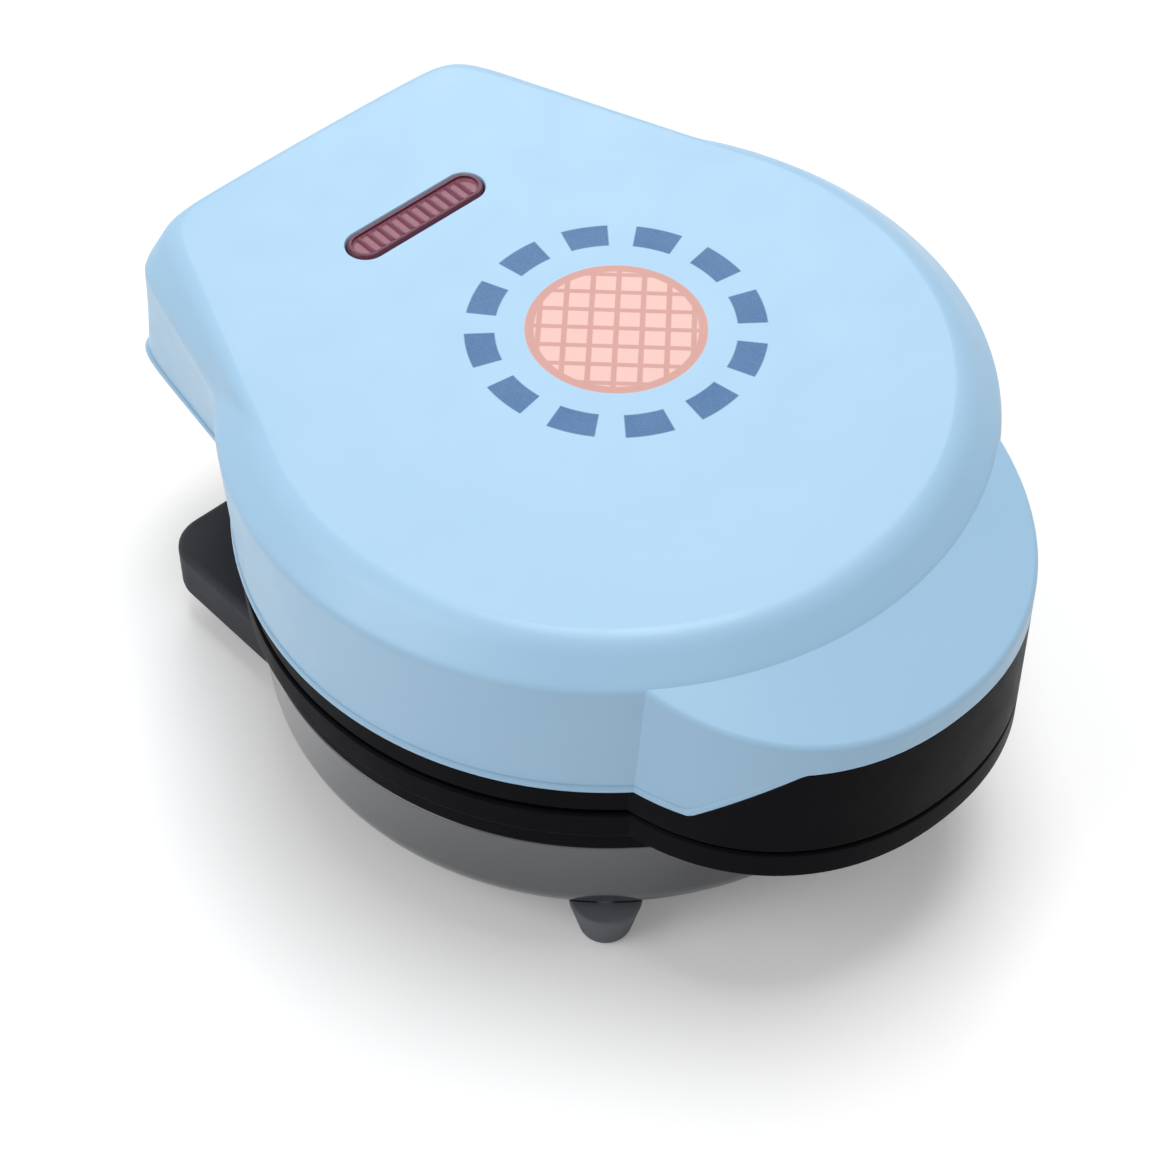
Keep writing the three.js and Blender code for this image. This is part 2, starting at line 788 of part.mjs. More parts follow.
// One lug that hangs from the bezel and turns on a pin
function hingeLug(side, plateFoot) {
  const arm = new THREE.Shape();
  const rise = plateFoot - hingeZ + bezelTongueThick / 2;
  arm.absarc(0, 0, barrelRadius, Math.PI, 2 * Math.PI, false);
  arm.lineTo(barrelRadius - hingeLugTaper, barrelRadius);
  arm.lineTo(barrelRadius - hingeLugTaper, rise);
  arm.lineTo(-barrelRadius, rise);
  const inner = side * hingeLugInner;
  const outer = side * (hingeLugInner + hingeLugWidth);
  const left = Math.min(inner, outer);
  const geometry = new THREE.ExtrudeGeometry(arm, {
    depth: hingeLugWidth,
    bevelEnabled: false,
    curveSegments: hingeSteps,
  });
  geometry.rotateX(Math.PI / 2);
  geometry.rotateZ(Math.PI / 2);
  geometry.translate(left, hingeY, hingeZ);
  const bore = crossBar(
    hingePinRadius + clearance, left - cutOverrun, left + hingeLugWidth + cutOverrun,
    hingeY, hingeZ, hingeSteps,
  );
  return cut(solid(geometry), bore);
}

// The thin black grip on the base
function baseGrip() {
  const top = partingHeight - clearance;
  const whole = loft([
    gripRing(ringBandFoot, ringChamfer),
    gripRing(ringBandFoot + ringChamfer, 0),
    gripRing(top - ringChamfer, 0),
    gripRing(top, ringChamfer),
  ]);
  return cut(whole, bar(bowlOpening, 0, 0, ringBandFoot - cutOverrun, top + cutOverrun, bowlSteps));
}

function baseGripHollow() {
  const ceiling = partingHeight - clearance - gripWall;
  const foot = ringBandFoot - cutOverrun;
  const whole = loft([gripRing(foot, gripWall), gripRing(ceiling, gripWall)]);
  return cut(whole, bar(ringRadius, 0, 0, foot - cutOverrun, partingHeight, plateSteps));
}

// The block at the rear that carries the hinge pins
function hingeBlock() {
  const foot = platformTop + clearance;
  const shape = new THREE.Shape();
  const front = platformFront - hingeY;
  shape.moveTo(front, foot - hingeZ);
  shape.lineTo(barrelRadius, foot - hingeZ);
  shape.lineTo(barrelRadius, 0);
  shape.absarc(0, 0, barrelRadius, 0, 0.75 * Math.PI, false);
  shape.lineTo(front, barrelRadius * Math.SQRT1_2);
  const geometry = new THREE.ExtrudeGeometry(shape, {
    depth: 2 * hingeBlockHalfWidth,
    bevelEnabled: false,
    curveSegments: hingeSteps / 2,
  });
  geometry.rotateX(Math.PI / 2);
  geometry.rotateZ(Math.PI / 2);
  geometry.translate(-hingeBlockHalfWidth, hingeY, hingeZ);
  return cut(solid(geometry), bar(bowlOpening, 0, 0, foot - cutOverrun, applianceHeight, bowlSteps));
}

function baseHousing() {
  const face = partingHeight - clearance;
  const seat = face - frameSeat;
  const ledgeFoot = seat - ledgeThick;
  const foot = ringFootHeight + clearance;
  let body = revolve([
    [frameOpening, face],
    [frameOpening, seat],
    [ledgeInnerRadius, seat],
    [ledgeInnerRadius, ledgeFoot],
    [bowlRadius - frameWall, ledgeFoot],
    [bowlRadius - frameWall, foot],
    [bowlRadius, foot],
    [bowlRadius, ringBandFoot],
    [ringRadius - ringChamfer, ringBandFoot],
    [ringRadius, ringBandFoot + ringChamfer],
    [ringRadius, face - ringChamfer],
    [ringRadius - ringChamfer, face],
  ], plateSteps);
  body = join(body, baseGrip(), hingeBlock());
  body = cut(body, baseGripHollow());
  for (const angle of baseScrewAngles) {
    const [x, y] = around(baseScrewRing, angle);
    body = join(body, bar(ringBossRadius, x, y, ringBossFoot, ledgeFoot + ledgeThick / 2));
  }
  const bore = screwShank + clearance;
  const screwTop = bowlFloorHeight + baseScrewRecess + baseScrewLength;
  for (const angle of baseScrewAngles) {
    const [x, y] = around(baseScrewRing, angle);
    body = cut(body, bar(bore, x, y, ringBossFoot - cutOverrun, screwTop + clearance));
  }
  for (const side of [-1, 1]) {
    const start = side > 0 ? hingeBlockHalfWidth - hingePinBite : -hingeBlockHalfWidth - cutOverrun;
    const end = side > 0 ? hingeBlockHalfWidth + cutOverrun : -hingeBlockHalfWidth + hingePinBite;
    body = cut(
      body,
      crossBar(hingePinRadius + clearance, start, end, hingeY, hingeZ, hingeSteps),
      bar(bore, side * rearScrewX, rearScrewY, platformTop - cutOverrun, screwTop + clearance),
    );
  }
  for (const angle of plateScrewAngles) {
    const [x, y] = around(plateScrewRing, 180 - angle);
    body = cut(body, bar(plateBossRadius + clearance, x, y, ledgeFoot - cutOverrun, seat + cutOverrun));
  }
  const slotBack = hingeY + barrelRadius - leadSlotWall;
  const slotFloor = foot + frameWall / 2;
  const slotFront = plateScrewRing + plateBossRadius + frameWall / 2;
  return cut(
    body,
    box(
      -leadSlotHalfWidth, leadSlotHalfWidth, slotFront, bowlRadius, foot - cutOverrun, slotFloor + clearance,
    ),
    box(
      -leadSlotHalfWidth, leadSlotHalfWidth, slotFront, slotBack, slotFloor, slotFloor + leadSlotHeight,
    ),
    box(
      -leadSlotHalfWidth, leadSlotHalfWidth, hingeY - barrelRadius + leadSlotWall, slotBack,
      slotFloor, applianceHeight,
    ),
  );
}

// Outline of the bowl's outer or inner face
function bowlForm(inset, top, cornerSteps) {
  const outline = [[0, bowlFloorHeight + inset], [bowlFloorRadius, bowlFloorHeight + inset]];
  const reach = bowlMidRadius - bowlFloorRadius - bowlCorner;
  for (let i = 1; i <= cornerSteps; i += 1) {
    const turn = (i / cornerSteps) * (Math.PI / 2);
    outline.push([
      bowlFloorRadius + reach / 2 + (bowlCorner - inset) * Math.sin(turn),
      bowlFloorHeight + bowlCorner - (bowlCorner - inset) * Math.cos(turn),
    ]);
  }
  outline.push([bowlMidRadius - inset, bowlMidHeight]);
  outline.push([bowlRadius - inset, ringFootHeight]);
  if (top > ringFootHeight) {
    outline.push([bowlRadius - inset, top]);
  }
  outline.push([0, top]);
  return revolve(outline, bowlSteps);
}

function platformForm(inset) {
  const rings = [];
  const drops = [[platformEdge, 0], [0, platformEdge]];
  const foot = bowlFloorHeight + inset;
  const top = platformTop - inset;
  for (const [shrink, rise] of drops) {
    rings.push(platformRing(foot + rise, inset + shrink));
  }
  for (const [shrink, rise] of [...drops].reverse()) {
    rings.push(platformRing(top - rise, inset + shrink));
  }
  return loft(rings);
}

function platformRing(height, inset) {
  const side = platformHalfWidth - inset;
  const shape = roundedRectangle(
    -side, side, platformFront + inset, platformRear - inset, platformCorner - inset / 2,
  );
  const points = shape.getPoints(platformCornerSteps).slice(0, -1).map((point) => [point.x, point.y]);
  return { height, points, centre: [0, (platformFront + platformRear) / 2] };
}

function footPlaces() {
  return [
    ["foot_front_left", -footX, footFrontY],
    ["foot_front_right", footX, footFrontY],
    ["foot_rear_left", -footRearX, footRearY],
    ["foot_rear_right", footRearX, footRearY],
  ];
}

function baseScrewPlaces() {
  const places = baseScrewAngles.map((angle) => around(baseScrewRing, angle));
  places.push([-rearScrewX, rearScrewY], [rearScrewX, rearScrewY]);
  return places;
}

function baseBowl() {
  let body = join(bowlForm(0, ringFootHeight, bowlCornerSteps), platformForm(0));
  for (const [, x, y] of footPlaces()) {
    body = join(body, bar(footBossRadius, x, y, bowlFloorHeight, footBossTop, footSides));
  }
  const space = join(
    bowlForm(shellWall, ringFootHeight + cutOverrun, bowlInnerCornerSteps),
    platformForm(shellWall),
  );
  body = cut(body, space);
  const frontBossTop = ringBossFoot - clearance;
  for (const angle of baseScrewAngles) {
    const [x, y] = around(baseScrewRing, angle);
    const boss = bar(bowlBossRadius, x, y, bowlFloorHeight, frontBossTop);
    body = join(body, boss.intersect(bowlForm(0, frontBossTop, bowlCornerSteps)));
  }
  for (const side of [-1, 1]) {
    body = join(body, bar(bowlBossRadius, side * rearScrewX, rearScrewY, bowlFloorHeight, platformTop));
  }
  body = cut(body, box(
    -platformHalfWidth, platformHalfWidth, platformRear, platformRear + bowlBossRadius,
    0, applianceHeight,
  ));
  for (const [x, y] of baseScrewPlaces()) {
    const seat = bowlFloorHeight + baseScrewRecess;
    body = cut(
      body,
      bar(screwHead + clearance, x, y, bowlFloorHeight - cutOverrun, seat),
      bar(screwShank + clearance, x, y, bowlFloorHeight, ringBossFoot + cutOverrun),
    );
  }
  for (const [, x, y] of footPlaces()) {
    const holeTop = bowlFloorHeight + footStemLength + clearance;
    body = cut(body, bar(footStemRadius + clearance, x, y, bowlFloorHeight - cutOverrun, holeTop));
  }
  for (let i = 0; i < ventCount; i += 1) {
    const y = (i - (ventCount - 1) / 2) * ventPitch;
    const vent = slotShape(ventLength / 2, ventWidth / 2, y);
    const ventTop = bowlFloorHeight + shellWall + cutOverrun;
    body = cut(body, prism(vent, bowlFloorHeight - cutOverrun, ventTop, ventSteps));
  }
  const inlet = new THREE.CylinderGeometry(
    glandBody + clearance, glandBody + clearance, shellWall + 2 * cutOverrun, glandSteps,
  );
  inlet.translate(0, platformRear - shellWall / 2, glandHeight);
  const pocketDepth = glandFlangeThick + 2 * clearance;
  const pocket = new THREE.CylinderGeometry(
    glandFlange + clearance, glandFlange + clearance, pocketDepth + cutOverrun, glandSteps,
  );
  pocket.translate(0, platformRear - shellWall - (pocketDepth + cutOverrun) / 2, glandHeight);
  return cut(body, solid(inlet), solid(pocket));
}

// A waffle plate in its own frame: the parting plane is at zero and the back is up
function wafflePlate() {
  const backRadius = dishOuterRadius;
  let body = revolve([
    [0, dishDepth],
    [dishRadius - dishDraft, dishDepth],
    [dishRadius, 0],
    [plateFlangeRadius, 0],
    [plateFlangeRadius, plateFlangeThick],
    [backRadius, plateFlangeThick],
    [backRadius - dishDraft, plateBackDepth],
    [0, plateBackDepth],
  ], plateSteps);
  body = join(body, wafflePegs());
  for (const angle of shieldPostAngles) {
    const [x, y] = around(shieldPostRing, angle);
    body = join(body, bar(shieldPostRadius, x, y, plateBackDepth - plateThick / 2, shieldPostDepth));
  }
  for (const angle of plateScrewAngles) {
    const [x, y] = around(plateScrewRing, angle);
    const bossTop = frameSeat + ledgeThick - clearance;
    body = join(body, bar(plateBossRadius, x, y, plateFlangeThick / 2, bossTop));
    body = cut(body, bar(screwShank + clearance, x, y, bossTop - plateScrewLength, bossTop + cutOverrun));
  }
  for (const angle of shieldPostAngles) {
    const [x, y] = around(shieldPostRing, angle);
    const boreFoot = shieldPostDepth - shieldScrewLength;
    body = cut(body, bar(screwShank + clearance, x, y, boreFoot, shieldPostDepth + cutOverrun));
  }
  return body;
}

// Square pegs with drafted sides on an even grid, trimmed by the dish's round wall
function wafflePegs() {
  const pegFoot = dishDepth + plateThick / 2;
  const pegLow = dishDepth - pegHeight;
  const halfCount = Math.ceil(pegFieldRadius / pegPitch);
  const diagonal = Math.SQRT2 / 2;
  const spread = (pegRoot - pegTip) / pegHeight;
  const footWidth = pegRoot + (spread * plateThick) / 2;
  const pegs = [];
  for (let row = -halfCount; row < halfCount; row += 1) {
    for (let column = -halfCount; column < halfCount; column += 1) {
      const x = (column + 0.5) * pegPitch;
      const y = (row + 0.5) * pegPitch;
      const nearX = Math.max(Math.abs(x) - pegRoot / 4, 0);
      const nearY = Math.max(Math.abs(y) - pegRoot / 4, 0);
      if (Math.hypot(nearX, nearY) > pegFieldRadius) {
        continue;
      }
      const geometry = new THREE.CylinderGeometry(
        footWidth * diagonal, pegTip * diagonal, pegFoot - pegLow, pegSides,
      );
      geometry.rotateY(Math.PI / 4);
      geometry.rotateX(Math.PI / 2);
      geometry.translate(x, y, (pegFoot + pegLow) / 2);
      pegs.push(solid(geometry));
    }
  }
  const limit = bar(pegFieldRadius, 0, 0, pegLow - cutOverrun, pegFoot + cutOverrun, pegFieldSteps);
  return join(...pegs).intersect(limit);
}

// A ring of sheathed heater tube whose two ends turn away from the plate
function heatingElement() {
  const points = [];
  const start = 90 + elementGapAngle / 2;
  const sweep = 360 - elementGapAngle;
  for (let i = 0; i <= elementRingPoints; i += 1) {
    const angle = start + (sweep * i) / elementRingPoints;
    const [x, y] = around(elementRing, angle);
    points.push([x, y, elementDepth]);
  }
  const [endX, endY] = around(elementRing, 90 - elementEndAngle);
  const rises = [elementEndReach * elementTurnShare, elementEndReach];
  for (const rise of rises) {
    points.unshift([-endX, endY, elementDepth + rise]);
    points.push([endX, endY, elementDepth + rise]);
  }
  return tube(points, elementRadius, elementSides, elementSteps);
}

function heatShield(hasSensors) {
  const top = shieldDepth + shieldThick;
  const rimFoot = shieldDepth - shieldRim;
  let body = revolve([
    [0, shieldDepth],
    [shieldRadius - shieldThick, shieldDepth],
    [shieldRadius - shieldThick, rimFoot],
    [shieldRadius, rimFoot],
    [shieldRadius, top],
    [0, top],
  ], plateSteps);
  for (const angle of shieldPostAngles) {
    const [x, y] = around(shieldPostRing, angle);
    body = cut(body, bar(screwShank + clearance, x, y, shieldDepth - cutOverrun, top + cutOverrun));
  }
  for (const side of [-1, 1]) {
    const [x, y] = around(elementRing, 90 - side * elementEndAngle);
    const slot = roundedRectangle(
      x - shieldHoleRadius, x + shieldHoleRadius,
      y - shieldHoleRadius, y + shieldHoleRadius, shieldHoleRadius / 2,
    );
    body = cut(body, prism(slot, shieldDepth - cutOverrun, top + cutOverrun, shieldHoleSteps));
  }
  if (hasSensors) {
    const opening = thermostatRadius + 2 * clearance;
    body = cut(
      body,
      bar(opening, thermostatX, thermostatY, shieldDepth - cutOverrun, top + cutOverrun),
    );
  }
  return body;
}

// A pan-head screw along +Z whose head lies below zero
function screw(length, headRadius = screwHead, headThick = screwHeadThick) {
  return join(
    bar(headRadius, 0, 0, -headThick, 0),
    bar(screwShank, 0, 0, -headThick / 2, length, screwSides / 2),
  );
}

function foot() {
  const top = bowlFloorHeight - clearance;
  return revolve([
    [0, 0],
    [footTipRadius - footRound, 0],
    [footTipRadius, footRound],
    [footTopRadius, top],
    [footStemRadius, top],
    [footStemRadius, top + footStemLength],
    [0, top + footStemLength],
  ], footSides);
}

function indicatorLens() {
  const flangeTop = lidTopHeight - shellWall - clearance;
  const face = slotShape(lensHalfSpan, lensEndRadius, lensY);
  const flange = slotShape(lensHalfSpan, lensEndRadius + lensFlange, lensY);
  return join(
    prism(face, flangeTop - lensFlangeThick / 2, applianceHeight, lensSteps),
    prism(flange, flangeTop - lensFlangeThick, flangeTop, lensSteps),
  );
}

function lampHolder() {
  const top = lidTopHeight - shellWall - lensFlangeThick - 2 * clearance;
  const body = box(
    -lampHolderHalfWidth, lampHolderHalfWidth,
    lensY - lampHolderHalfBreadth, lensY + lampHolderHalfBreadth,
    top - lampHolderDepth, top,
  );
  const half = lampHolderHalfWidth - lampHolderWall;
  const breadth = lampHolderHalfBreadth - lampHolderWall;
  const floor = top - lampHolderDepth + lampHolderWall;
  const reach = lampHolderHalfWidth + cutOverrun;
  return cut(
    body,
    box(-half, half, lensY - breadth, lensY + breadth, floor, applianceHeight),
    crossBar(leadRadius + clearance, -reach, reach, lensY, floor + clearance + lampRadius),
  );
}

function indicatorLamp() {
  const top = lidTopHeight - shellWall - lensFlangeThick - 2 * clearance;
  const centre = top - lampHolderDepth + lampHolderWall + clearance + lampRadius;
  return crossBar(lampRadius, -lampLength / 2, lampLength / 2, lensY, centre);
}

function thermostat() {
  const start = plateBackDepth + clearance;
  const end = start + thermostatDepth;
  let body = bar(thermostatRadius, thermostatX, thermostatY, start, end, footSides);
  for (const side of [-1, 1]) {
    const x = thermostatX + side * (thermostatRadius / 2);
    body = join(body, box(
      x - thermostatTabHalf, x + thermostatTabHalf,
      thermostatY - thermostatTabThick / 2, thermostatY + thermostatTabThick / 2,
      end - thermostatTabThick, end + thermostatTab,
    ));
  }
  return body;
}

// A strap across the thermostat's back that holds it on the plate
function thermostatStrap() {
  const start = plateBackDepth + clearance + thermostatDepth + clearance;
  const body = box(
    thermostatX - strapHalfLength, thermostatX + strapHalfLength,
    thermostatY + thermostatTabThick, thermostatY + thermostatTabThick + 2 * strapHalfWidth,
    start, start + strapThick,
  );
  const legs = [-1, 1].map((side) => {
    const outer = thermostatX + side * strapHalfLength;
    const inner = thermostatX + side * (strapHalfLength - strapThick);
    return box(
      Math.min(outer, inner), Math.max(outer, inner),
      thermostatY + thermostatTabThick, thermostatY + thermostatTabThick + 2 * strapHalfWidth,
      plateBackDepth + clearance, start + strapThick,
    );
  });
  return join(body, ...legs);
}

function thermalFuse() {
  const centre = shieldDepth + shieldThick + fuseClipWall + 2 * clearance + fuseRadius;
  return crossBar(fuseRadius, fuseX - fuseLength / 2, fuseX + fuseLength / 2, fuseY, centre);
}

// A clip on the shield's outer face that holds the fuse
function fuseClip() {
  const start = shieldDepth + shieldThick + clearance;
  const reach = fuseRadius + clearance;
  const outer = reach + fuseClipWall;
  const top = start + fuseClipWall + 2 * reach;
  const body = box(fuseX - fuseClipHalf, fuseX + fuseClipHalf, fuseY - outer, fuseY + outer, start, top);
  return cut(body, box(
    fuseX - fuseClipHalf - cutOverrun, fuseX + fuseClipHalf + cutOverrun, fuseY - reach, fuseY + reach,
    start + fuseClipWall, top + cutOverrun,
  ));
}

function terminalBlock() {
  const floor = bowlFloorHeight + shellWall + clearance;
  const top = floor + terminalHeight;
  let body = box(
    terminalX - terminalHalfLength, terminalX + terminalHalfLength,
    terminalY - terminalHalfWidth, terminalY + terminalHalfWidth, floor, top,
  );
  for (const side of [-1, 1]) {
    const x = terminalX + (side * terminalHalfLength) / 2;
    const hole = new THREE.CylinderGeometry(
      terminalHole, terminalHole, 2 * terminalHalfWidth + 2 * cutOverrun, screwSides,
    );
    hole.translate(x, terminalY, (floor + top) / 2);
    const well = bar(terminalHole, x, terminalY, top - terminalHeight / 2, top + cutOverrun);
    body = cut(body, solid(hole), well);
  }
  return body;
}

function cordGland() {
  const inner = platformRear - shellWall - clearance;
  const outer = platformRear + clearance;
  const outline = [
    [glandBore, inner - glandFlangeThick],
    [glandFlange, inner - glandFlangeThick],
    [glandFlange, inner],
    [glandBody, inner],
    [glandBody, outer],
    [glandFlange, outer],
    [glandFlange, outer + glandFlangeThick],
    [glandBore, outer + glandFlangeThick],
  ];
  const points = outline.map(([radius, along]) => new THREE.Vector2(radius, along));
  points.push(points[0].clone());
  const geometry = new THREE.LatheGeometry(points, glandSteps);
  geometry.translate(0, 0, glandHeight);
  return solid(geometry);
}

function lead(points) {
  return tube(points, leadRadius, leadSides, points.length + 1);
}

// Leads of the lid, as mirrored pairs given for one side
function lidLeads() {
  const ceiling = lidTopHeight - shellWall;
  const elementEnd = partingHeight + clearance + elementDepth + elementEndReach;
  const over = elementEnd + clearance + leadRadius;
  const [endX, endY] = around(elementRing, 90 - elementEndAngle);
  const holderTop = ceiling - lensFlangeThick - 2 * clearance;
  const lampHeight = holderTop - lampHolderDepth + lampHolderWall + clearance + lampRadius;
  const start = lidRimHeight + ledgeThick + clearance;
  const wayX = lensHalfSpan + lensEndRadius + lensFlange + 3 * leadRadius;
  const riseY = (hingeY + lensY) / 2;
  const midHeight = (start + over) / 2;
  return {
    lid_lead: [
      [leadHalfSpread, hingeY - leadRadius, start],
      [leadHalfSpread + leadRadius, hingeY - leadBend, start + 2 * leadBend],
      [(leadHalfSpread + wayX) / 2, riseY, midHeight],
      [wayX, lensY, over - leadBend],
      [wayX, endY + leadBend, over],
      [endX + leadBend, endY, over],
      [endX, endY, over],
    ],
    lamp_lead: [
      [lampLength / 2 + clearance, lensY, lampHeight],
      [lampHolderHalfWidth + leadRadius, lensY, lampHeight],
      [wayX - 2 * leadRadius - clearance, lensY, over - leadBend],
    ],
  };
}

// Leads of the base, from the gland to the terminals, the controls and the hinge
function baseLeads() {
  const floor = bowlFloorHeight + shellWall + clearance;
  const terminalLevel = floor + terminalHeight / 2;
  const half = terminalHalfLength / 2;
  const backY = terminalY + terminalHalfWidth + clearance;
  const frontY = terminalY - terminalHalfWidth - clearance;
  const elementEnd = partingHeight - clearance - elementDepth - elementEndReach;
  const under = elementEnd - clearance - leadRadius;
  const [endX, endY] = around(elementRing, 90 - elementEndAngle);
  const tabEnd = partingHeight - clearance - plateBackDepth - clearance - thermostatDepth - thermostatTab;
  const tabLevel = tabEnd - clearance - leadRadius;
  const tabX = thermostatRadius / 2;
  const fuseDepth = shieldDepth + shieldThick + fuseClipWall + 2 * clearance + fuseRadius;
  const fuseLevel = partingHeight - clearance - fuseDepth;
  const fuseEnd = fuseLength / 2 + clearance;
  const glandInner = platformRear - shellWall - glandFlangeThick - 2 * clearance;
  return {
    supply_lead_left: [
      [-leadRadius - clearance, glandInner, glandHeight],
      [-half, (glandInner + backY) / 2, (glandHeight + terminalLevel) / 2],
      [-half, backY, terminalLevel],
    ],
    supply_lead_right: [
      [leadRadius + clearance, glandInner, glandHeight],
      [half, (glandInner + backY) / 2, (glandHeight + terminalLevel) / 2],
      [half, backY, terminalLevel],
    ],
    thermostat_lead: [
      [-half, frontY, terminalLevel],
      [-half, frontY - leadBend, terminalLevel],
      [-half, (frontY + thermostatY) / 2, terminalLevel],
      [-tabX, thermostatY + leadBend, tabLevel],
      [-tabX, thermostatY, tabLevel],
    ],
    fuse_lead: [
      [tabX, thermostatY, tabLevel],
      [tabX + leadBend, thermostatY - leadBend, tabLevel],
      [fuseEnd + 2 * leadBend, (thermostatY + fuseY) / 2, tabLevel],
      [fuseEnd + 2 * leadBend, fuseY + leadBend, fuseLevel],
      [fuseEnd + leadBend, fuseY, fuseLevel],
      [fuseEnd, fuseY, fuseLevel],
    ],
    element_lead_left: [
      [-fuseEnd, fuseY, fuseLevel],
      [-fuseEnd - leadBend, fuseY, fuseLevel],
      [-endX - 2 * leadBend, fuseY + 2 * leadBend, under],
      [-endX - 2 * leadBend, endY - 2 * leadBend, under],
      [-endX, endY, under],
    ],
    element_lead_right: [
      [half, frontY, terminalLevel],
      [half, frontY - leadBend / 2, terminalLevel],
      [endX, endY, under],
    ],
  };
}

// Leads that climb from the element's ends through the hinge block's slot
function hingeLead(side) {
  const [endX, endY] = around(elementRing, 90 - elementEndAngle);
  const elementEnd = partingHeight - clearance - elementDepth - elementEndReach;
  const slotLevel = ringFootHeight + clearance + frameWall / 2 + leadSlotHeight / 2;
  const outX = Math.max(endX + elementRadius, terminalHalfLength) + clearance + leadRadius;
  return [
    [side * outX, endY, elementEnd + leadRadius],
    [side * outX, terminalY, elementEnd + leadRadius],
    [side * (outX - leadRadius), terminalY + 2 * leadBend, slotLevel - 3 * leadBend],
    [side * leadHalfSpread, hingeY - barrelRadius - leadBend, slotLevel],
    [side * leadHalfSpread, hingeY - leadBend / 2, slotLevel],
    [side * leadHalfSpread, hingeY, hingeZ + leadRadius],
    [side * leadHalfSpread, hingeY, hingeZ + barrelRadius],
  ];
}

function piece(name, body, material) {
  const mesh = new THREE.Mesh(geometryOf(body), material);
  mesh.name = name;
  return mesh;
}

// Everything that a plate carries on its back, in the plate's own frame
function plateSet(prefix, hasSensors) {
  const set = new THREE.Group();
  set.add(piece(`${prefix}_plate`, wafflePlate(), coating));
  set.add(piece(`${prefix}_element`, heatingElement(), steel));
  set.add(piece(`${prefix}_heat_shield`, heatShield(hasSensors), steel));
  shieldPostAngles.forEach((angle, index) => {
    const [x, y] = around(shieldPostRing, angle);
    const part = piece(`${prefix}_shield_screw_${index + 1}`, screw(shieldScrewLength - clearance), steel);
    part.rotation.x = Math.PI;
    part.position.set(x, y, shieldDepth + shieldThick + clearance);
    set.add(part);
  });
  plateScrewAngles.forEach((angle, index) => {
    const [x, y] = around(plateScrewRing, angle);
    const part = piece(`${prefix}_plate_screw_${index + 1}`, screw(plateScrewLength), steel);
    part.rotation.x = Math.PI;
    part.position.set(x, y, frameSeat + ledgeThick + clearance);
    set.add(part);
  });
  return set;
}

const model = new THREE.Group();
const lid = new THREE.Group();
const base = new THREE.Group();
lid.position.y = plateY;
base.position.y = plateY;
model.add(lid, base);

lid.add(piece("lid_housing", lidHousing(), blue));
lid.add(piece("lid_bezel", lidBezel(), black));
lid.add(piece("indicator_lens", indicatorLens(), lensRed));
lid.add(piece("indicator_lamp", indicatorLamp(), glass));
lid.add(piece("lamp_holder", lampHolder(), ceramic));
bezelScrewAngles.forEach((angle, index) => {
  const [x, y] = around(bezelScrewRing, angle);
  const body = screw(bezelScrewLength, bezelScrewHead, bezelScrewHeadThick);
  const part = piece(`bezel_screw_${index + 1}`, body, steel);
  part.position.set(x, y, partingHeight + frameSeat + bezelScrewSeat);
  lid.add(part);
});
const upperSet = plateSet("upper", false);
upperSet.position.z = partingHeight + clearance;
lid.add(upperSet);

base.add(piece("base_housing", baseHousing(), black));
base.add(piece("base_bowl", baseBowl(), gloss));
for (const [name, x, y] of footPlaces()) {
  const part = piece(name, foot(), rubber);
  part.position.set(x, y, 0);
  base.add(part);
}
baseScrewPlaces().forEach(([x, y], index) => {
  const part = piece(`base_screw_${index + 1}`, screw(baseScrewLength), steel);
  part.position.set(x, y, bowlFloorHeight + baseScrewRecess - clearance);
  base.add(part);
});
const lowerSet = plateSet("lower", true);
lowerSet.position.z = partingHeight - clearance;
lowerSet.rotation.y = Math.PI;
lowerSet.add(piece("thermostat", thermostat(), ceramic));
lowerSet.add(piece("thermostat_strap", thermostatStrap(), steel));
lowerSet.add(piece("thermal_fuse", thermalFuse(), ceramic));
lowerSet.add(piece("fuse_clip", fuseClip(), steel));
base.add(lowerSet);
base.add(piece("terminal_block", terminalBlock(), ceramic));
base.add(piece("cord_gland", cordGland(), rubber));

for (const [name, points] of Object.entries(baseLeads())) {
  base.add(piece(name, lead(points), sleeve));
}

["left", "right"].forEach((name, index) => {
  const side = index === 0 ? -1 : 1;
  for (const [pair, points] of Object.entries(lidLeads())) {
    const mirrored = points.map(([x, y, z]) => [side * x, y, z]);
    lid.add(piece(`${pair}_${name}`, lead(mirrored), sleeve));
  }
  base.add(piece(`hinge_lead_${name}`, lead(hingeLead(side)), sleeve));
  const inner = side * (hingeBlockHalfWidth - hingePinBite + clearance);
  const outer = side * (hingeLugInner + hingeLugWidth - hingePinShort);
  const left = Math.min(inner, outer);
  const right = Math.max(inner, outer);
  const pin = crossBar(hingePinRadius, left, right, hingeY, hingeZ, hingeSteps);
  base.add(piece(`hinge_pin_${name}`, pin, steel));
});

export default model;
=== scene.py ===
# %% [markdown]
# # A mini waffle maker, dressed for the camera
#
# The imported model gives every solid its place, its size and its hinge. This lesson puts
# detailed skins over the solids that show: the blue lid with its visor, the black rings and
# grips, the glossy bowl, the rubber feet and the coated waffle plates. All sizes are in
# millimetres and are turned into metres only where Blender needs them.

import json
import math

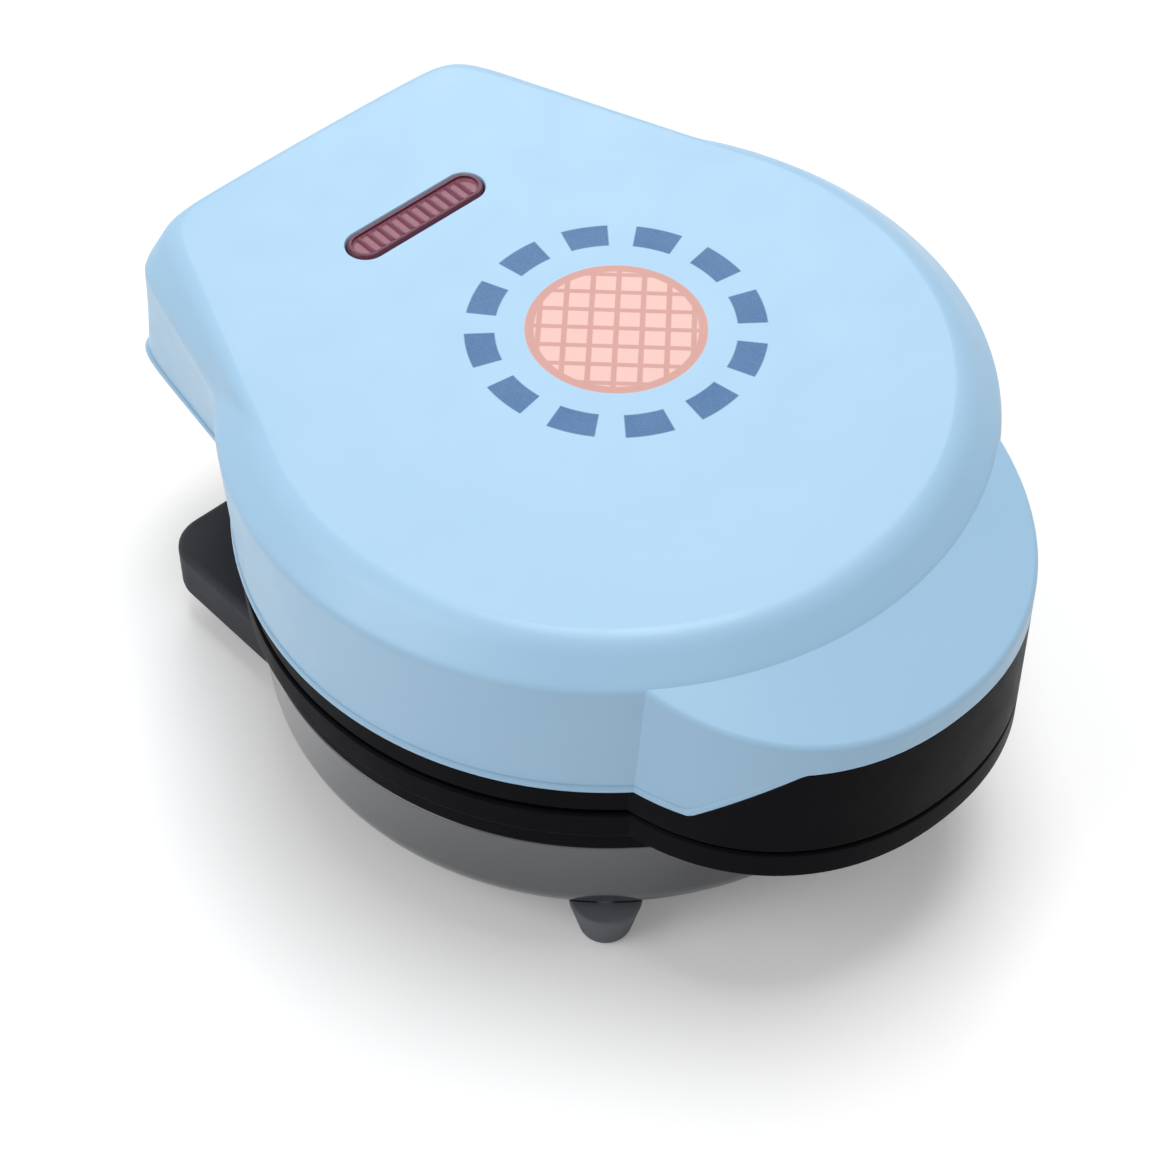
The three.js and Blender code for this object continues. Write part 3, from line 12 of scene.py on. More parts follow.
import bmesh
import bpy
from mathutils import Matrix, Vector


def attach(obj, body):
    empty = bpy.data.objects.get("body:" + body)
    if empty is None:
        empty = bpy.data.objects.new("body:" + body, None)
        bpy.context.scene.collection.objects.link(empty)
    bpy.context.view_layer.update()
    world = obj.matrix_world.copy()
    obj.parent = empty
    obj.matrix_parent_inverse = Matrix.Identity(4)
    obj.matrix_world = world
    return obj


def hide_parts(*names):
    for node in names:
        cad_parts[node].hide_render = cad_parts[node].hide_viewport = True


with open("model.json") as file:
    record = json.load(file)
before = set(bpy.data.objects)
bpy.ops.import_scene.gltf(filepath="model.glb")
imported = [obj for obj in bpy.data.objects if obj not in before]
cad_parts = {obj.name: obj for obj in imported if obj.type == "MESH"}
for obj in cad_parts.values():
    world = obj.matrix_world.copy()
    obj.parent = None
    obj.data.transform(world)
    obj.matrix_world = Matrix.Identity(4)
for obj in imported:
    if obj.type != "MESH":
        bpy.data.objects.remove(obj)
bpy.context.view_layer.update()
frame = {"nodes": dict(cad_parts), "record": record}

# %% [markdown]
# ## Sizes that every piece shares
#
# The two waffle plates are round about one upright axis. It lies two millimetres in front
# of the middle of the whole object, so each piece is modelled about that axis first and is
# moved forward once, when it is finished.

# %% Shared sizes, in millimetres
MM = 0.001
PLATE_Y = -2.05
CLEARANCE = 0.3
PARTING = 39.5
RIM = 45.8
SHOULDER = 71.2
LID_TOP = 77.2
OBJECT_TOP = 77.5
RING_FOOT = 28.0
BOWL_FLOOR = 6.5
HINGE_Y = 67.5
HINGE_Z = 34.5
PLATFORM_REAR = 66.0
PLATFORM_TOP = 17.0
SHELL_WALL = 2.4
OVERRUN = 3.0
FINE = 1e-3
WELD = 2e-6
TURN_STEPS = 192


# %% [markdown]
# ## Small helpers
#
# An operator acts on everything that is selected, and the loaded solids are selected after
# loading. So each helper clears the selection first, and then picks just what it needs.

# %% Helpers for selecting and editing
def clear_selection():
    bpy.ops.object.select_all(action="DESELECT")


def only(obj):
    """Makes one object the selected and active one."""
    clear_selection()
    obj.select_set(True)
    bpy.context.view_layer.objects.active = obj
    return obj


def edit(obj):
    only(obj)
    bpy.ops.object.mode_set(mode="EDIT")
    return bmesh.from_edit_mesh(obj.data)


def leave_edit():
    bpy.ops.object.mode_set(mode="OBJECT")


def pick(obj, kind, test):
    """Selects the points, edges or faces of a mesh in edit mode that pass a test."""
    bpy.ops.mesh.select_mode(type=kind)
    bpy.ops.mesh.select_all(action="DESELECT")
    mesh = bmesh.from_edit_mesh(obj.data)
    parts = {"VERT": mesh.verts, "EDGE": mesh.edges, "FACE": mesh.faces}[kind]
    for part in parts:
        if test(part):
            part.select_set(True)
    mesh.select_flush_mode()
    bmesh.update_edit_mesh(obj.data)


def face_test(normal, low=-1e9, high=1e9):
    """A test for faces that look along a direction, between two heights in millimetres."""
    way = Vector(normal)
    return lambda face: (
        face.normal.dot(way) > 0.9 and low < face.calc_center_median().z / MM < high
    )


def new_name(obj, name):
    obj.name = name
    obj.data.name = name
    return obj


def apply_place(obj):
    only(obj)
    bpy.ops.object.transform_apply(location=True, rotation=True, scale=True)
    return obj


def weld(obj):
    """Merges doubled points and turns all faces outwards."""
    edit(obj)
    bpy.ops.mesh.select_all(action="SELECT")
    bpy.ops.mesh.remove_doubles(threshold=WELD)
    bpy.ops.mesh.normals_make_consistent(inside=False)
    leave_edit()
    return obj


def apply_modifier(obj, kind, **settings):
    only(obj)
    modifier = obj.modifiers.new(kind.title(), kind)
    for key, value in settings.items():
        setattr(modifier, key, value)
    bpy.ops.object.modifier_apply(modifier=modifier.name)
    return obj


def combine(obj, operation, *others):
    """Joins, cuts or overlaps closed meshes, and uses the later ones up."""
    for other in others:
        apply_modifier(obj, "BOOLEAN", operation=operation, solver="EXACT", object=other)
        bpy.data.objects.remove(other)
    return obj


def union(obj, *others):
    return combine(obj, "UNION", *others)


def carve(obj, *others):
    return combine(obj, "DIFFERENCE", *others)


def round_edges(obj, width, segments=3, angle=30):
    """Gives every edge that turns more than the angle a small moulded radius."""
    return apply_modifier(
        obj, "BEVEL", width=width * MM, segments=segments, limit_method="ANGLE",
        angle_limit=math.radians(angle), miter_outer="MITER_ARC",
    )


print("helpers ready")


# %% [markdown]
# ## Small helpers for materials
#
# A material is a tree of nodes. These helpers add one node each, link its inputs and hand
# back its output, so the finishes further down can be read as plain sums.

# %% Helpers for shader nodes
def srgb(red, green, blue):
    """A colour as read off a screen, 0 to 255, as Blender's linear colour."""
    def linear(value):
        value /= 255
        return value / 12.92 if value <= 0.04045 else ((value + 0.055) / 1.055) ** 2.4
    return (linear(red), linear(green), linear(blue), 1)


def feed(socket, value):
    """Links an output to an input, or sets the input to a plain value."""
    if isinstance(value, bpy.types.NodeSocket):
        socket.id_data.links.new(value, socket)
    else:
        socket.default_value = value


def set_inputs(node, values):
    for label, value in values.items():
        feed(node.inputs[label], value)


def math_node(tree, operation, *values):
    node = tree.nodes.new("ShaderNodeMath")
    node.operation = operation
    for socket, value in zip(node.inputs, values):
        feed(socket, value)
    return node.outputs[0]


def noise_node(tree, place, scale, detail=2.0, roughness=0.5):
    node = tree.nodes.new("ShaderNodeTexNoise")
    set_inputs(node, {
        "Vector": place, "Scale": scale, "Detail": detail, "Roughness": roughness,
    })
    return node.outputs["Fac"]


def spread(tree, value, low, high, start=0.0, end=1.0):
    node = tree.nodes.new("ShaderNodeMapRange")
    set_inputs(node, {
        "Value": value, "From Min": start, "From Max": end, "To Min": low, "To Max": high,
    })
    return node.outputs["Result"]


def mix_colour(tree, mask, first, second):
    node = tree.nodes.new("ShaderNodeMix")
    node.data_type = "RGBA"
    for index, value in ((0, mask), (6, first), (7, second)):
        feed(node.inputs[index], value)
    return node.outputs[2]


def add_bump(shader, height, strength, distance):
    relief = shader.id_data.nodes.new("ShaderNodeBump")
    set_inputs(relief, {"Strength": strength, "Distance": distance * MM, "Height": height})
    feed(shader.inputs["Normal"], relief.outputs["Normal"])


def separate(tree, place):
    node = tree.nodes.new("ShaderNodeSeparateXYZ")
    feed(node.inputs[0], place)
    return node.outputs


def new_material(name):
    material = bpy.data.materials.new(name)
    material.use_nodes = True
    tree = material.node_tree
    place = tree.nodes.new("ShaderNodeTexCoord").outputs["Object"]
    return material, tree, tree.nodes["Principled BSDF"], place


print("material helpers ready")


# %% [markdown]
# ## Camera
#
# The photograph looks down on the front left of the waffle maker from about 49 degrees
# above the table, with a long lens from half a metre away, so the top reads almost as a plan.

# %% Camera
AZIMUTH = math.radians(-42.38)
ELEVATION = math.radians(48.84)
AIM = Vector((-13.40, -11.28, 40.81)) * MM
DISTANCE = 0.50286
LENS = 92.53

back = Vector((
    math.sin(AZIMUTH) * math.cos(ELEVATION),
    -math.cos(AZIMUTH) * math.cos(ELEVATION),
    math.sin(ELEVATION),
))
clear_selection()
bpy.ops.object.camera_add(location=AIM + back * DISTANCE)
camera = bpy.context.object
camera.name = "photo_camera"
camera.rotation_mode = "QUATERNION"
camera.rotation_quaternion = (-back).to_track_quat("-Z", "Y")
camera.data.lens = LENS
camera.data.sensor_width = 36
camera.data.clip_start = 0.01
bpy.context.scene.camera = camera
print("camera", round(camera.location.z, 3), "m above the table")

# %% [markdown]
# ## Studio
#
# The waffle maker stands on white paper under three soft lamps. The key lamp hangs almost
# straight above and makes the pale top. The fill lamp on the left lightens the flank that
# faces it, and the rear lamp on the right opens the shade behind. The world fills in from all
# sides, and shows plain white to the camera and to reflections. The paper glows a little for
# the camera alone, which keeps it white and its shadow grey.

# %% Floor, world and lamps
KEY_POWER = 11.4
FILL_POWER = 5.0
REAR_POWER = 4.5
WORLD_FILL = 0.5
FLOOR_GLOW = 0.14
FLOOR_SIZE = 6.0
PAPER_WHITE = (0.9, 0.9, 0.9, 1)


def area_lamp(name, place, size, power):
    clear_selection()
    bpy.ops.object.light_add(type="AREA", location=place)
    lamp = bpy.context.object
    lamp.name = name
    lamp.data.shape = "DISK"
    lamp.data.size = size
    lamp.data.energy = power
    lamp.rotation_mode = "QUATERNION"
    lamp.rotation_quaternion = (AIM - Vector(place)).to_track_quat("-Z", "Y")
    return lamp


area_lamp("key_lamp", (0.2, 0.05, 1.45), 0.8, KEY_POWER)
area_lamp("fill_lamp", (-1.0, 0.3, 0.85), 0.9, FILL_POWER)
area_lamp("rear_lamp", (0.75, 0.85, 0.95), 0.8, REAR_POWER)

world = bpy.data.worlds.new("studio")
bpy.context.scene.world = world
world.use_nodes = True
tree = world.node_tree
tree.nodes.clear()
rays = tree.nodes.new("ShaderNodeLightPath").outputs
mirrored = math_node(tree, "MAXIMUM", rays["Is Glossy Ray"], rays["Is Transmission Ray"])
seen = math_node(tree, "MAXIMUM", rays["Is Camera Ray"], mirrored)
shine = tree.nodes.new("ShaderNodeBackground")
sky = tree.nodes.new("ShaderNodeOutputWorld")
feed(shine.inputs["Strength"], spread(tree, seen, WORLD_FILL, 1))
feed(sky.inputs["Surface"], shine.outputs[0])

clear_selection()
bpy.ops.mesh.primitive_plane_add(size=FLOOR_SIZE)
floor = new_name(bpy.context.object, "floor")
paper, tree, sheet, place = new_material("white_paper")
shown = tree.nodes.new("ShaderNodeLightPath").outputs["Is Camera Ray"]
set_inputs(sheet, {
    "Base Color": PAPER_WHITE, "Roughness": 0.9, "Specular IOR Level": 0,
    "Emission Color": (1, 1, 1, 1),
    "Emission Strength": math_node(tree, "MULTIPLY", shown, FLOOR_GLOW),
})
floor.data.materials.append(paper)
bpy.context.scene.view_settings.view_transform = "Standard"
print("studio ready")


# %% [markdown]
# ## Two ways to make a moulded form
#
# Most moulded parts are either turned or stacked. A turned part is a profile spun about an
# upright axis, with its corners rounded first. A stacked part is a ring of points that is
# extruded level by level, with its points put in place at each level.

# %% Turned and stacked forms
def spaced(start, stop, steps):
    """Evenly spaced numbers from start to stop, both included."""
    return [start + (stop - start) * i / steps for i in range(steps + 1)]


def turns(start, stop, steps):
    """Evenly spaced angles in radians, between two angles in degrees."""
    return [math.radians(angle) for angle in spaced(start, stop, steps)]


def arc(radius, start, stop, steps, across=0.0, up=0.0):
    """Points on an arc round (across, up), between two angles in degrees."""
    return [
        (across + radius * math.cos(turn), up + radius * math.sin(turn))
        for turn in turns(start, stop, steps)
    ]


def circle(radius, steps, across=0.0, up=0.0):
    return arc(radius, 0, 360, steps, across, up)[:-1]


def place_points(obj, order, points):
    mesh = bmesh.from_edit_mesh(obj.data)
    mesh.verts.ensure_lookup_table()
    for index, place in zip(order, points):
        mesh.verts[index].co = Vector(place) * MM
    bmesh.update_edit_mesh(obj.data)


def extrude_ring(obj, order):
    """Extrudes the selected ring, and gives its new points in the old order."""
    bpy.ops.mesh.extrude_region_move(TRANSFORM_OT_translate={"value": (0, 0, MM)})
    mesh = bmesh.from_edit_mesh(obj.data)
    mesh.verts.ensure_lookup_table()
    mesh.verts.index_update()
    after = []
    for index in order:
        old = mesh.verts[index]
        joined = [edge.other_vert(old) for edge in old.link_edges]
        after.append(next(point.index for point in joined if point.select))
    return after


def stacked(name, rings):
    """A closed body that passes through each ring of (x, y, z) points in turn."""
    clear_selection()
    bpy.ops.mesh.primitive_circle_add(vertices=len(rings[0]), radius=MM, fill_type="NGON")
    body = new_name(bpy.context.object, name)
    edit(body)
    bpy.ops.mesh.select_all(action="SELECT")
    order = list(range(len(rings[0])))
    place_points(body, order, rings[0])
    for points in rings[1:]:
        order = extrude_ring(body, order)
        place_points(body, order, points)
    bpy.ops.mesh.select_all(action="SELECT")
    bpy.ops.mesh.normals_make_consistent(inside=False)
    leave_edit()
    return body


def filleted(corners, steps):
    """Rounds each (across, up, radius) corner of a closed outline; radius 0 keeps it sharp."""
    points = []
    for i, (across, up, radius) in enumerate(corners):
        here = Vector((across, up))
        if not radius:
            points.append(tuple(here))
            continue
        before = (Vector(corners[i - 1][:2]) - here).normalized()
        after = (Vector(corners[(i + 1) % len(corners)][:2]) - here).normalized()
        half = before.angle(after) / 2
        middle = here + (before + after).normalized() * radius / math.sin(half)
        start = here + before * radius / math.tan(half) - middle
        stop = here + after * radius / math.tan(half) - middle
        for step in range(steps + 1):
            spoke = start.slerp(stop, step / steps).normalized()
            points.append(tuple(middle + spoke * radius))
    return points


def turned(name, corners, steps=TURN_STEPS, curve_steps=5):
    """A closed round body: (radius, height, rounding) corners spun about the axis."""
    profile = filleted(corners, curve_steps)
    clear_selection()
    bpy.ops.mesh.primitive_circle_add(vertices=len(profile), radius=MM, fill_type="NOTHING")
    body = new_name(bpy.context.object, name)
    edit(body)
    place_points(body, range(len(profile)), [(radius, 0, height) for radius, height in profile])
    pick(body, "EDGE", lambda line: all(point.co.x == 0 for point in line.verts))
    if any(line.select for line in bmesh.from_edit_mesh(body.data).edges):
        bpy.ops.mesh.delete(type="EDGE")
    bpy.ops.mesh.select_all(action="SELECT")
    bpy.ops.mesh.spin(steps=steps, angle=2 * math.pi, center=(0, 0, 0), axis=(0, 0, 1))
    leave_edit()
    return weld(body)


def soft_edge(low, high, radius, steps=5):
    """Levels of (height, inset) for a wall whose lower and upper edge are rounded."""
    foot = [
        (low + radius * (1 - math.cos(turn)), radius * (1 - math.sin(turn)))
        for turn in turns(0, 90, steps)
    ]
    head = [(high - height + low, inset) for height, inset in reversed(foot)]
    return foot + head


def bar_across(name, outline, start, end):
    """An outline of (y, z) points extruded across the object, from one x to another."""
    return stacked(name, [[(x, y, z) for y, z in outline] for x in (start, end)])


def bar_along(name, outline, start, end):
    """An outline of (x, z) points extruded along the object, from one y to another."""
    return stacked(name, [[(x, y, z) for x, z in outline] for y in (start, end)])


def drum(name, radius, low, high, place=(0, 0), steps=TURN_STEPS):
    """A plain round tool for carving, or the core of a boss."""
    clear_selection()
    bpy.ops.mesh.primitive_cylinder_add(
        vertices=steps, radius=radius * MM, depth=(high - low) * MM,
        location=Vector((*place, (low + high) / 2)) * MM,
    )
    return apply_place(new_name(bpy.context.object, name))


def block(name, low, high):
    """A plain box-shaped tool between two corners."""
    clear_selection()
    low, high = Vector(low) * MM, Vector(high) * MM
    bpy.ops.mesh.primitive_cube_add(size=1, location=(low + high) / 2)
    tool = new_name(bpy.context.object, name)
    tool.scale = high - low
    return apply_place(tool)


print("form helpers ready")


# %% [markdown]
# ## The lid's outline
#
# Seen from above, the lid is a round drum joined to a box over the hinge. At the rim the box
# is narrow and meets the drum in a soft inner corner. At the top its sides have leaned out
# until they run straight off the round. The skirt widens a little up to the shoulder, and
# from there a band leans in at about 45 degrees to the flat top.

# %% The lid's outline at any height
STATION_KEYS = ("height", "round", "side", "lean", "rear", "blend")
STATIONS = [dict(zip(STATION_KEYS, row)) for row in (
    (RIM, 63.0, 48.4, 8.2, 83.4, 5.0),
    (SHOULDER, 64.17, 57.7, 15.5, 77.9, 1.5),
    (LID_TOP, 57.9, 57.9, 21.3, 77.3, 0.0),
)]
REAR_BOW = 0.75
REAR_BOW_HALF_WIDTH = 36.0
CORNER_SHARPNESS = 28
LID_SPOKES = 288
CORNER_ANGLE = 60.0
CORNER_SPREAD = 9.0
CORNER_CROWDING = 4.0


def station_at(height):
    low, high = STATIONS[:2] if height <= SHOULDER else STATIONS[1:]
    share = (height - low["height"]) / (high["height"] - low["height"])
    return {key: low[key] + (high[key] - low[key]) * share for key in STATION_KEYS}


def lid_reach(height, inset, angle):
    """Distance in millimetres from the plates' axis to the lid's outline."""
    at = station_at(height)
    round_reach = at["round"] - inset
    across, rearward = abs(math.cos(angle)), math.sin(angle)
    lean = math.radians(at["lean"])
    if math.atan2(rearward, across) <= lean:
        return round_reach
    side = (at["side"] - inset) / (math.cos(lean) * across + math.sin(lean) * rearward)
    bow = REAR_BOW * across**2 / REAR_BOW_HALF_WIDTH**2
    limit = at["rear"] - inset
    rear = 2 * limit / (rearward + math.sqrt(rearward**2 + 4 * bow * limit))
    boxed = rear / (1 + (rear / side) ** CORNER_SHARPNESS) ** (1 / CORNER_SHARPNESS)
    highest = max(round_reach, boxed)
    if at["blend"] <= 0:
        return highest
    near = max(at["blend"] - abs(round_reach - boxed), 0) / at["blend"]
    return highest + near**2 * at["blend"] / 4


def spoke_angles(count):
    """Angles round the lid, crowded together where the two rear corners turn."""
    fine = 7200
    weights = []
    for degrees in spaced(0, 360, fine)[:-1]:
        off = min(abs(degrees - CORNER_ANGLE), abs(degrees - 180 + CORNER_ANGLE))
        weights.append(1 + CORNER_CROWDING * math.exp(-((off / CORNER_SPREAD) ** 2)))
    total, running, angles = sum(weights), 0.0, []
    for i, weight in enumerate(weights):
        if running >= total * len(angles) / count:
            angles.append(math.radians(360 * i / fine))
        running += weight
    return angles[:count]


def lid_form(name, levels, spokes):
    """A closed body with the lid's outline at each level of (height, inset)."""
    rings = []
    for height, inset in levels:
        level = min(max(height, RIM), LID_TOP)
        reaches = [(lid_reach(level, inset, angle), angle) for angle in spokes]
        rings.append([
            (reach * math.cos(angle), reach * math.sin(angle), height)
            for reach, angle in reaches
        ])
    return stacked(name, rings)


lid_spokes = spoke_angles(LID_SPOKES)
print("lid spokes:", len(lid_spokes))

# %% [markdown]
# ## The lid's shell
#
# The real lid is one moulding: a bead round its rim, the skirt, a softly rounded shoulder,
# the leaning band, and a flat top with a soft edge. The visor grows out of the front of the
# skirt, thin as a cap's peak, and its lower edge climbs to the front over the black grip.

# %% Drum of the lid
BEAD_HALF = 0.8
BEAD_SWELL = 0.5
BEAD_TURNS = turns(-90, 90, 10)
SHOULDER_ROUND = ((-1.3, 0.0), (-0.8, 0.03), (-0.4, 0.1), (0.0, 0.26), (0.3, 0.12), (0.6, 0.04))
TOP_ROUND = 2.0
TOP_ROUND_STEPS = 7
SKIRT_LEVELS = 7
BAND_LEVELS = 5

levels = [
    (RIM + BEAD_HALF * (1 + math.sin(turn)), -BEAD_SWELL * math.cos(turn)) for turn in BEAD_TURNS
]
levels += [(z, 0.0) for z in spaced(RIM + 3 * BEAD_HALF, SHOULDER - 2.2, SKIRT_LEVELS)]
levels += [(SHOULDER + rise, inset) for rise, inset in SHOULDER_ROUND]
levels += [(z, 0.0) for z in spaced(SHOULDER + 1.0, LID_TOP - TOP_ROUND - 0.2, BAND_LEVELS)]
levels += [
    (LID_TOP - TOP_ROUND * (1 - math.sin(turn)), TOP_ROUND * (1 - math.cos(turn)))
    for turn in turns(0, 90, TOP_ROUND_STEPS)
]
lid = lid_form("lid_shell", levels, lid_spokes)
print("drum of the lid:", len(lid.data.polygons), "faces")

# %% The outline of both grips, seen from above: a squared oval
GRIP_HALF_WIDTH = 40.6
GRIP_HALF_DEPTH = 41.5
GRIP_OFFSET = 38.3
GRIP_SQUARENESS = 2.15
GRIP_STEPS = 160
GRIP_WALL = 2.4


def grip_form(name, levels):
    """A closed body with the oval's outline at each level of (height, inset)."""
    power = 2 / GRIP_SQUARENESS
    ring = circle(1, GRIP_STEPS)
    return stacked(name, [[
        (
            (GRIP_HALF_WIDTH - inset) * math.copysign(abs(across) ** power, across),
            (GRIP_HALF_DEPTH - inset) * math.copysign(abs(along) ** power, along) - GRIP_OFFSET,
            height,
        ) for across, along in ring
    ] for height, inset in levels])


def grip_reach(angle):
    """Distance from the plates' axis to the oval, for an angle from the front."""
    near, far = 0.0, GRIP_OFFSET + GRIP_HALF_DEPTH + OVERRUN
    while far - near > FINE:
        middle = (near + far) / 2
        across = abs(middle * math.sin(angle)) / GRIP_HALF_WIDTH
        along = abs(GRIP_OFFSET - middle * math.cos(angle)) / GRIP_HALF_DEPTH
        if across**GRIP_SQUARENESS + along**GRIP_SQUARENESS < 1:
            near = middle
        else:
            far = middle
    return near


print("grips reach", round(grip_reach(0), 1), "mm to the front")

# %% Visor, one section for each spoke of its own
VISOR_SLOPE = 0.48
VISOR_LIFT = 0.1
VISOR_WALL = 2.2
VISOR_RISE = 13.5
VISOR_STEP = 58.3
VISOR_END = 43.0
VISOR_ROUND = 1.6
VISOR_ROUND_STEPS = 6
VISOR_INNER = 58.0
VISOR_SPOKES = 120


def visor_cone(reach):
    return SHOULDER + VISOR_LIFT - VISOR_SLOPE * (reach - STATIONS[1]["round"])


def visor_edge(reach, angle):
    """Height of the visor's lower edge, which climbs towards the front."""
    return RIM + min(max(reach * math.cos(angle) - VISOR_STEP, 0), VISOR_RISE)


def visor_section(angle):
    """The visor's cross-section as (reach, height) points, from its inner foot round."""
    face = grip_reach(angle)
    edge = visor_cone(face)
    sweep = math.pi / 2 - math.atan(VISOR_SLOPE)
    back_off = VISOR_ROUND * math.tan(sweep / 2)
    swell = BEAD_SWELL * (1 - (visor_edge(face, angle) - RIM) / VISOR_RISE)
    points = [(face - VISOR_WALL, visor_edge(face - VISOR_WALL, angle))]
    points += [(
        face + swell * math.cos(turn) - (1 - math.sin(turn)) * FINE,
        visor_edge(face, angle) + BEAD_HALF * (1 + math.sin(turn)),
    ) for turn in BEAD_TURNS]
    points += [(
        face - VISOR_ROUND * (1 - math.cos(turn)),
        edge - back_off + VISOR_ROUND * math.sin(turn),
    ) for turn in turns(0, math.degrees(sweep), VISOR_ROUND_STEPS)]
    points.append((VISOR_INNER, visor_cone(VISOR_INNER)))
    drop = VISOR_WALL * math.hypot(1, VISOR_SLOPE)
    points.append((VISOR_INNER, visor_cone(VISOR_INNER) - drop))
    points.append((face - VISOR_WALL, visor_cone(face - VISOR_WALL) - drop))
    return points


visor = stacked("visor", [[
    (reach * math.sin(angle), -reach * math.cos(angle), height)
    for reach, height in visor_section(angle)
] for angle in turns(-VISOR_END, VISOR_END, VISOR_SPOKES)])
print("visor:", len(visor.data.polygons), "faces")

# %% Hollow of the lid, the lens's window, and the bodies combined
CEILING = LID_TOP - SHELL_WALL
LENS_Y = 48.0
LENS_HALF_SPAN = 10.8
LENS_END = 3.3

union(lid, visor)
carve(lid, lid_form("lid_hollow", [
    (RIM - OVERRUN, SHELL_WALL), (RIM, SHELL_WALL), (SHOULDER, SHELL_WALL),
    (CEILING - 1.2, SHELL_WALL), (CEILING, SHELL_WALL + 1.2),
], spoke_angles(LID_SPOKES // 2)))


def slot_form(name, half_span, radius, y, levels):
    """A bar with round ends, stacked through levels of (height, inset)."""
    return stacked(name, [[
        (side * (half_span + across), y + side * up, z)
        for side in (1, -1) for across, up in arc(radius - inset, -90, 90, 24)
    ] for z, inset in levels])


carve(lid, slot_form("window", LENS_HALF_SPAN, LENS_END + CLEARANCE, LENS_Y, [
    (CEILING - OVERRUN, 0), (LID_TOP - 0.4, 0), (LID_TOP, -0.2), (LID_TOP + 1, -0.2),
]))
print("lid shell:", len(lid.data.polygons), "faces")


# %% [markdown]
# ## Finishing a piece
#
# Long flat faces beside small radii shade badly when every corner's normal is a plain
# average. So edges that turn more than a limit are marked sharp, and the weighted normal
# modifier lets the big faces win. The piece is then moved to its place, its place is applied
# to its mesh, it is hung under the body it rides on, and the solid it stands for is hidden.

# %% Shading and finishing
def smooth(obj, sharp):
    """Shades a mesh smooth, save at edges that turn more than the limit in degrees."""
    only(obj)
    bpy.ops.object.shade_smooth()
    edit(obj)
    pick(obj, "EDGE", lambda edge: (
        len(edge.link_faces) == 2 and math.degrees(edge.calc_face_angle(0)) > sharp
    ))
    bpy.ops.mesh.mark_sharp()
    leave_edit()
    return apply_modifier(obj, "WEIGHTED_NORMAL", keep_sharp=True, weight=80)


def finish_piece(obj, body, slot, solid, sharp=30):
    smooth(obj, sharp)
    obj.location.y += PLATE_Y * MM
    apply_place(obj)
    obj.data.materials.clear()
    obj.data.materials.append(FINISHES[slot])
    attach(obj, body)
    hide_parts(solid)
    print(obj.name, "rides on", body, "with", len(obj.data.polygons), "faces")
    return obj


print("finishing ready")


# %% [markdown]
# ## Effects that the finishes share
#
# Moulded plastic is never one flat colour. It has a very fine spark-eroded grain, a faint
# cloudiness where the melt flowed, and edges that hands have polished, which are also painted
# lighter as a painted highlight. Each effect is a node group that puts out a mask or a height,
# and each finish uses it at its own scale.

# %% Node groups for grain, clouds and edges
def new_group(name, values, outputs):
    """An empty group with a place, one number to set, and its named outputs."""
    group = bpy.data.node_groups.new(name, "ShaderNodeTree")
    sockets = group.interface
    sockets.new_socket("Vector", in_out="INPUT", socket_type="NodeSocketVector")
    for label, value in values.items():
        number = sockets.new_socket(label, in_out="INPUT", socket_type="NodeSocketFloat")
        number.default_value = value
    for label in outputs:
        sockets.new_socket(label, in_out="OUTPUT", socket_type="NodeSocketFloat")
    start = group.nodes.new("NodeGroupInput").outputs
    end = group.nodes.new("NodeGroupOutput").inputs
    return group, start, end


def build_grain():
    """Fine moulded grain: a height for bump, and a mask that breaks up the gloss."""
    group, start, end = new_group("moulded_grain", {"Scale": 2500.0}, ["Height", "Gloss Mask"])
    grain = noise_node(group, start["Vector"], start["Scale"], 3.0, 0.6)
    broad = math_node(group, "MULTIPLY", start["Scale"], 0.04)
    patches = noise_node(group, start["Vector"], broad, 3.0, 0.55)
    feed(end["Height"], grain)
    feed(end["Gloss Mask"], patches)
    return group


def build_clouds():
    """Slow lighter and darker clouds, for colour that isn't quite even."""
    group, start, end = new_group("flow_clouds", {"Scale": 28.0}, ["Mask"])
    feed(end["Mask"], noise_node(group, start["Vector"], start["Scale"], 2.0, 0.45))
    return group


def build_edge_wear_and_highlight():
    """Convex edges, lighter where rubbed and as a painted highlight: one on an edge, nought on a
    flat.
    """
    group, start, end = new_group("rubbed_and_highlit_edges", {"Width": 0.4 * MM}, ["Mask"])
    shape = group.nodes.new("ShaderNodeNewGeometry").outputs
    soft = group.nodes.new("ShaderNodeBevel")
    soft.samples = 4
    feed(soft.inputs["Radius"], start["Width"])
    facing = group.nodes.new("ShaderNodeVectorMath")
    facing.operation = "DOT_PRODUCT"
    feed(facing.inputs[0], soft.outputs["Normal"])
    feed(facing.inputs[1], shape["Normal"])
    turn = spread(group, facing.outputs["Value"], 1, 0, 0.75, 0.98)
    convex = math_node(group, "GREATER_THAN", shape["Pointiness"], 0.5)
    broken = noise_node(group, start["Vector"], 900.0, 2.0)
    # The convex edge mask serves both as rubbed wear and as a painted highlight.
    rubbed_and_highlit = math_node(group, "MULTIPLY", turn, convex)
    feed(end["Mask"], math_node(group, "MULTIPLY", rubbed_and_highlit, broken))
    return group


GRAIN, CLOUDS, EDGE_WEAR_AND_HIGHLIGHT = build_grain(), build_clouds(), build_edge_wear_and_highlight()
print("node groups:", [group.name for group in (GRAIN, CLOUDS, EDGE_WEAR_AND_HIGHLIGHT)])


# %% [markdown]
# ## Moulded plastics
#
# One function builds every moulded finish from its own colour, gloss and grain, so the blue
# lid, the black rings, the bowl and the feet differ only in values, as real pellets do.

# %% Plastic and rubber finishes
def add_group(tree, group, place, **values):
    node = tree.nodes.new("ShaderNodeGroup")
    node.node_tree = group
    set_inputs(node, {"Vector": place, **values})
    return node.outputs


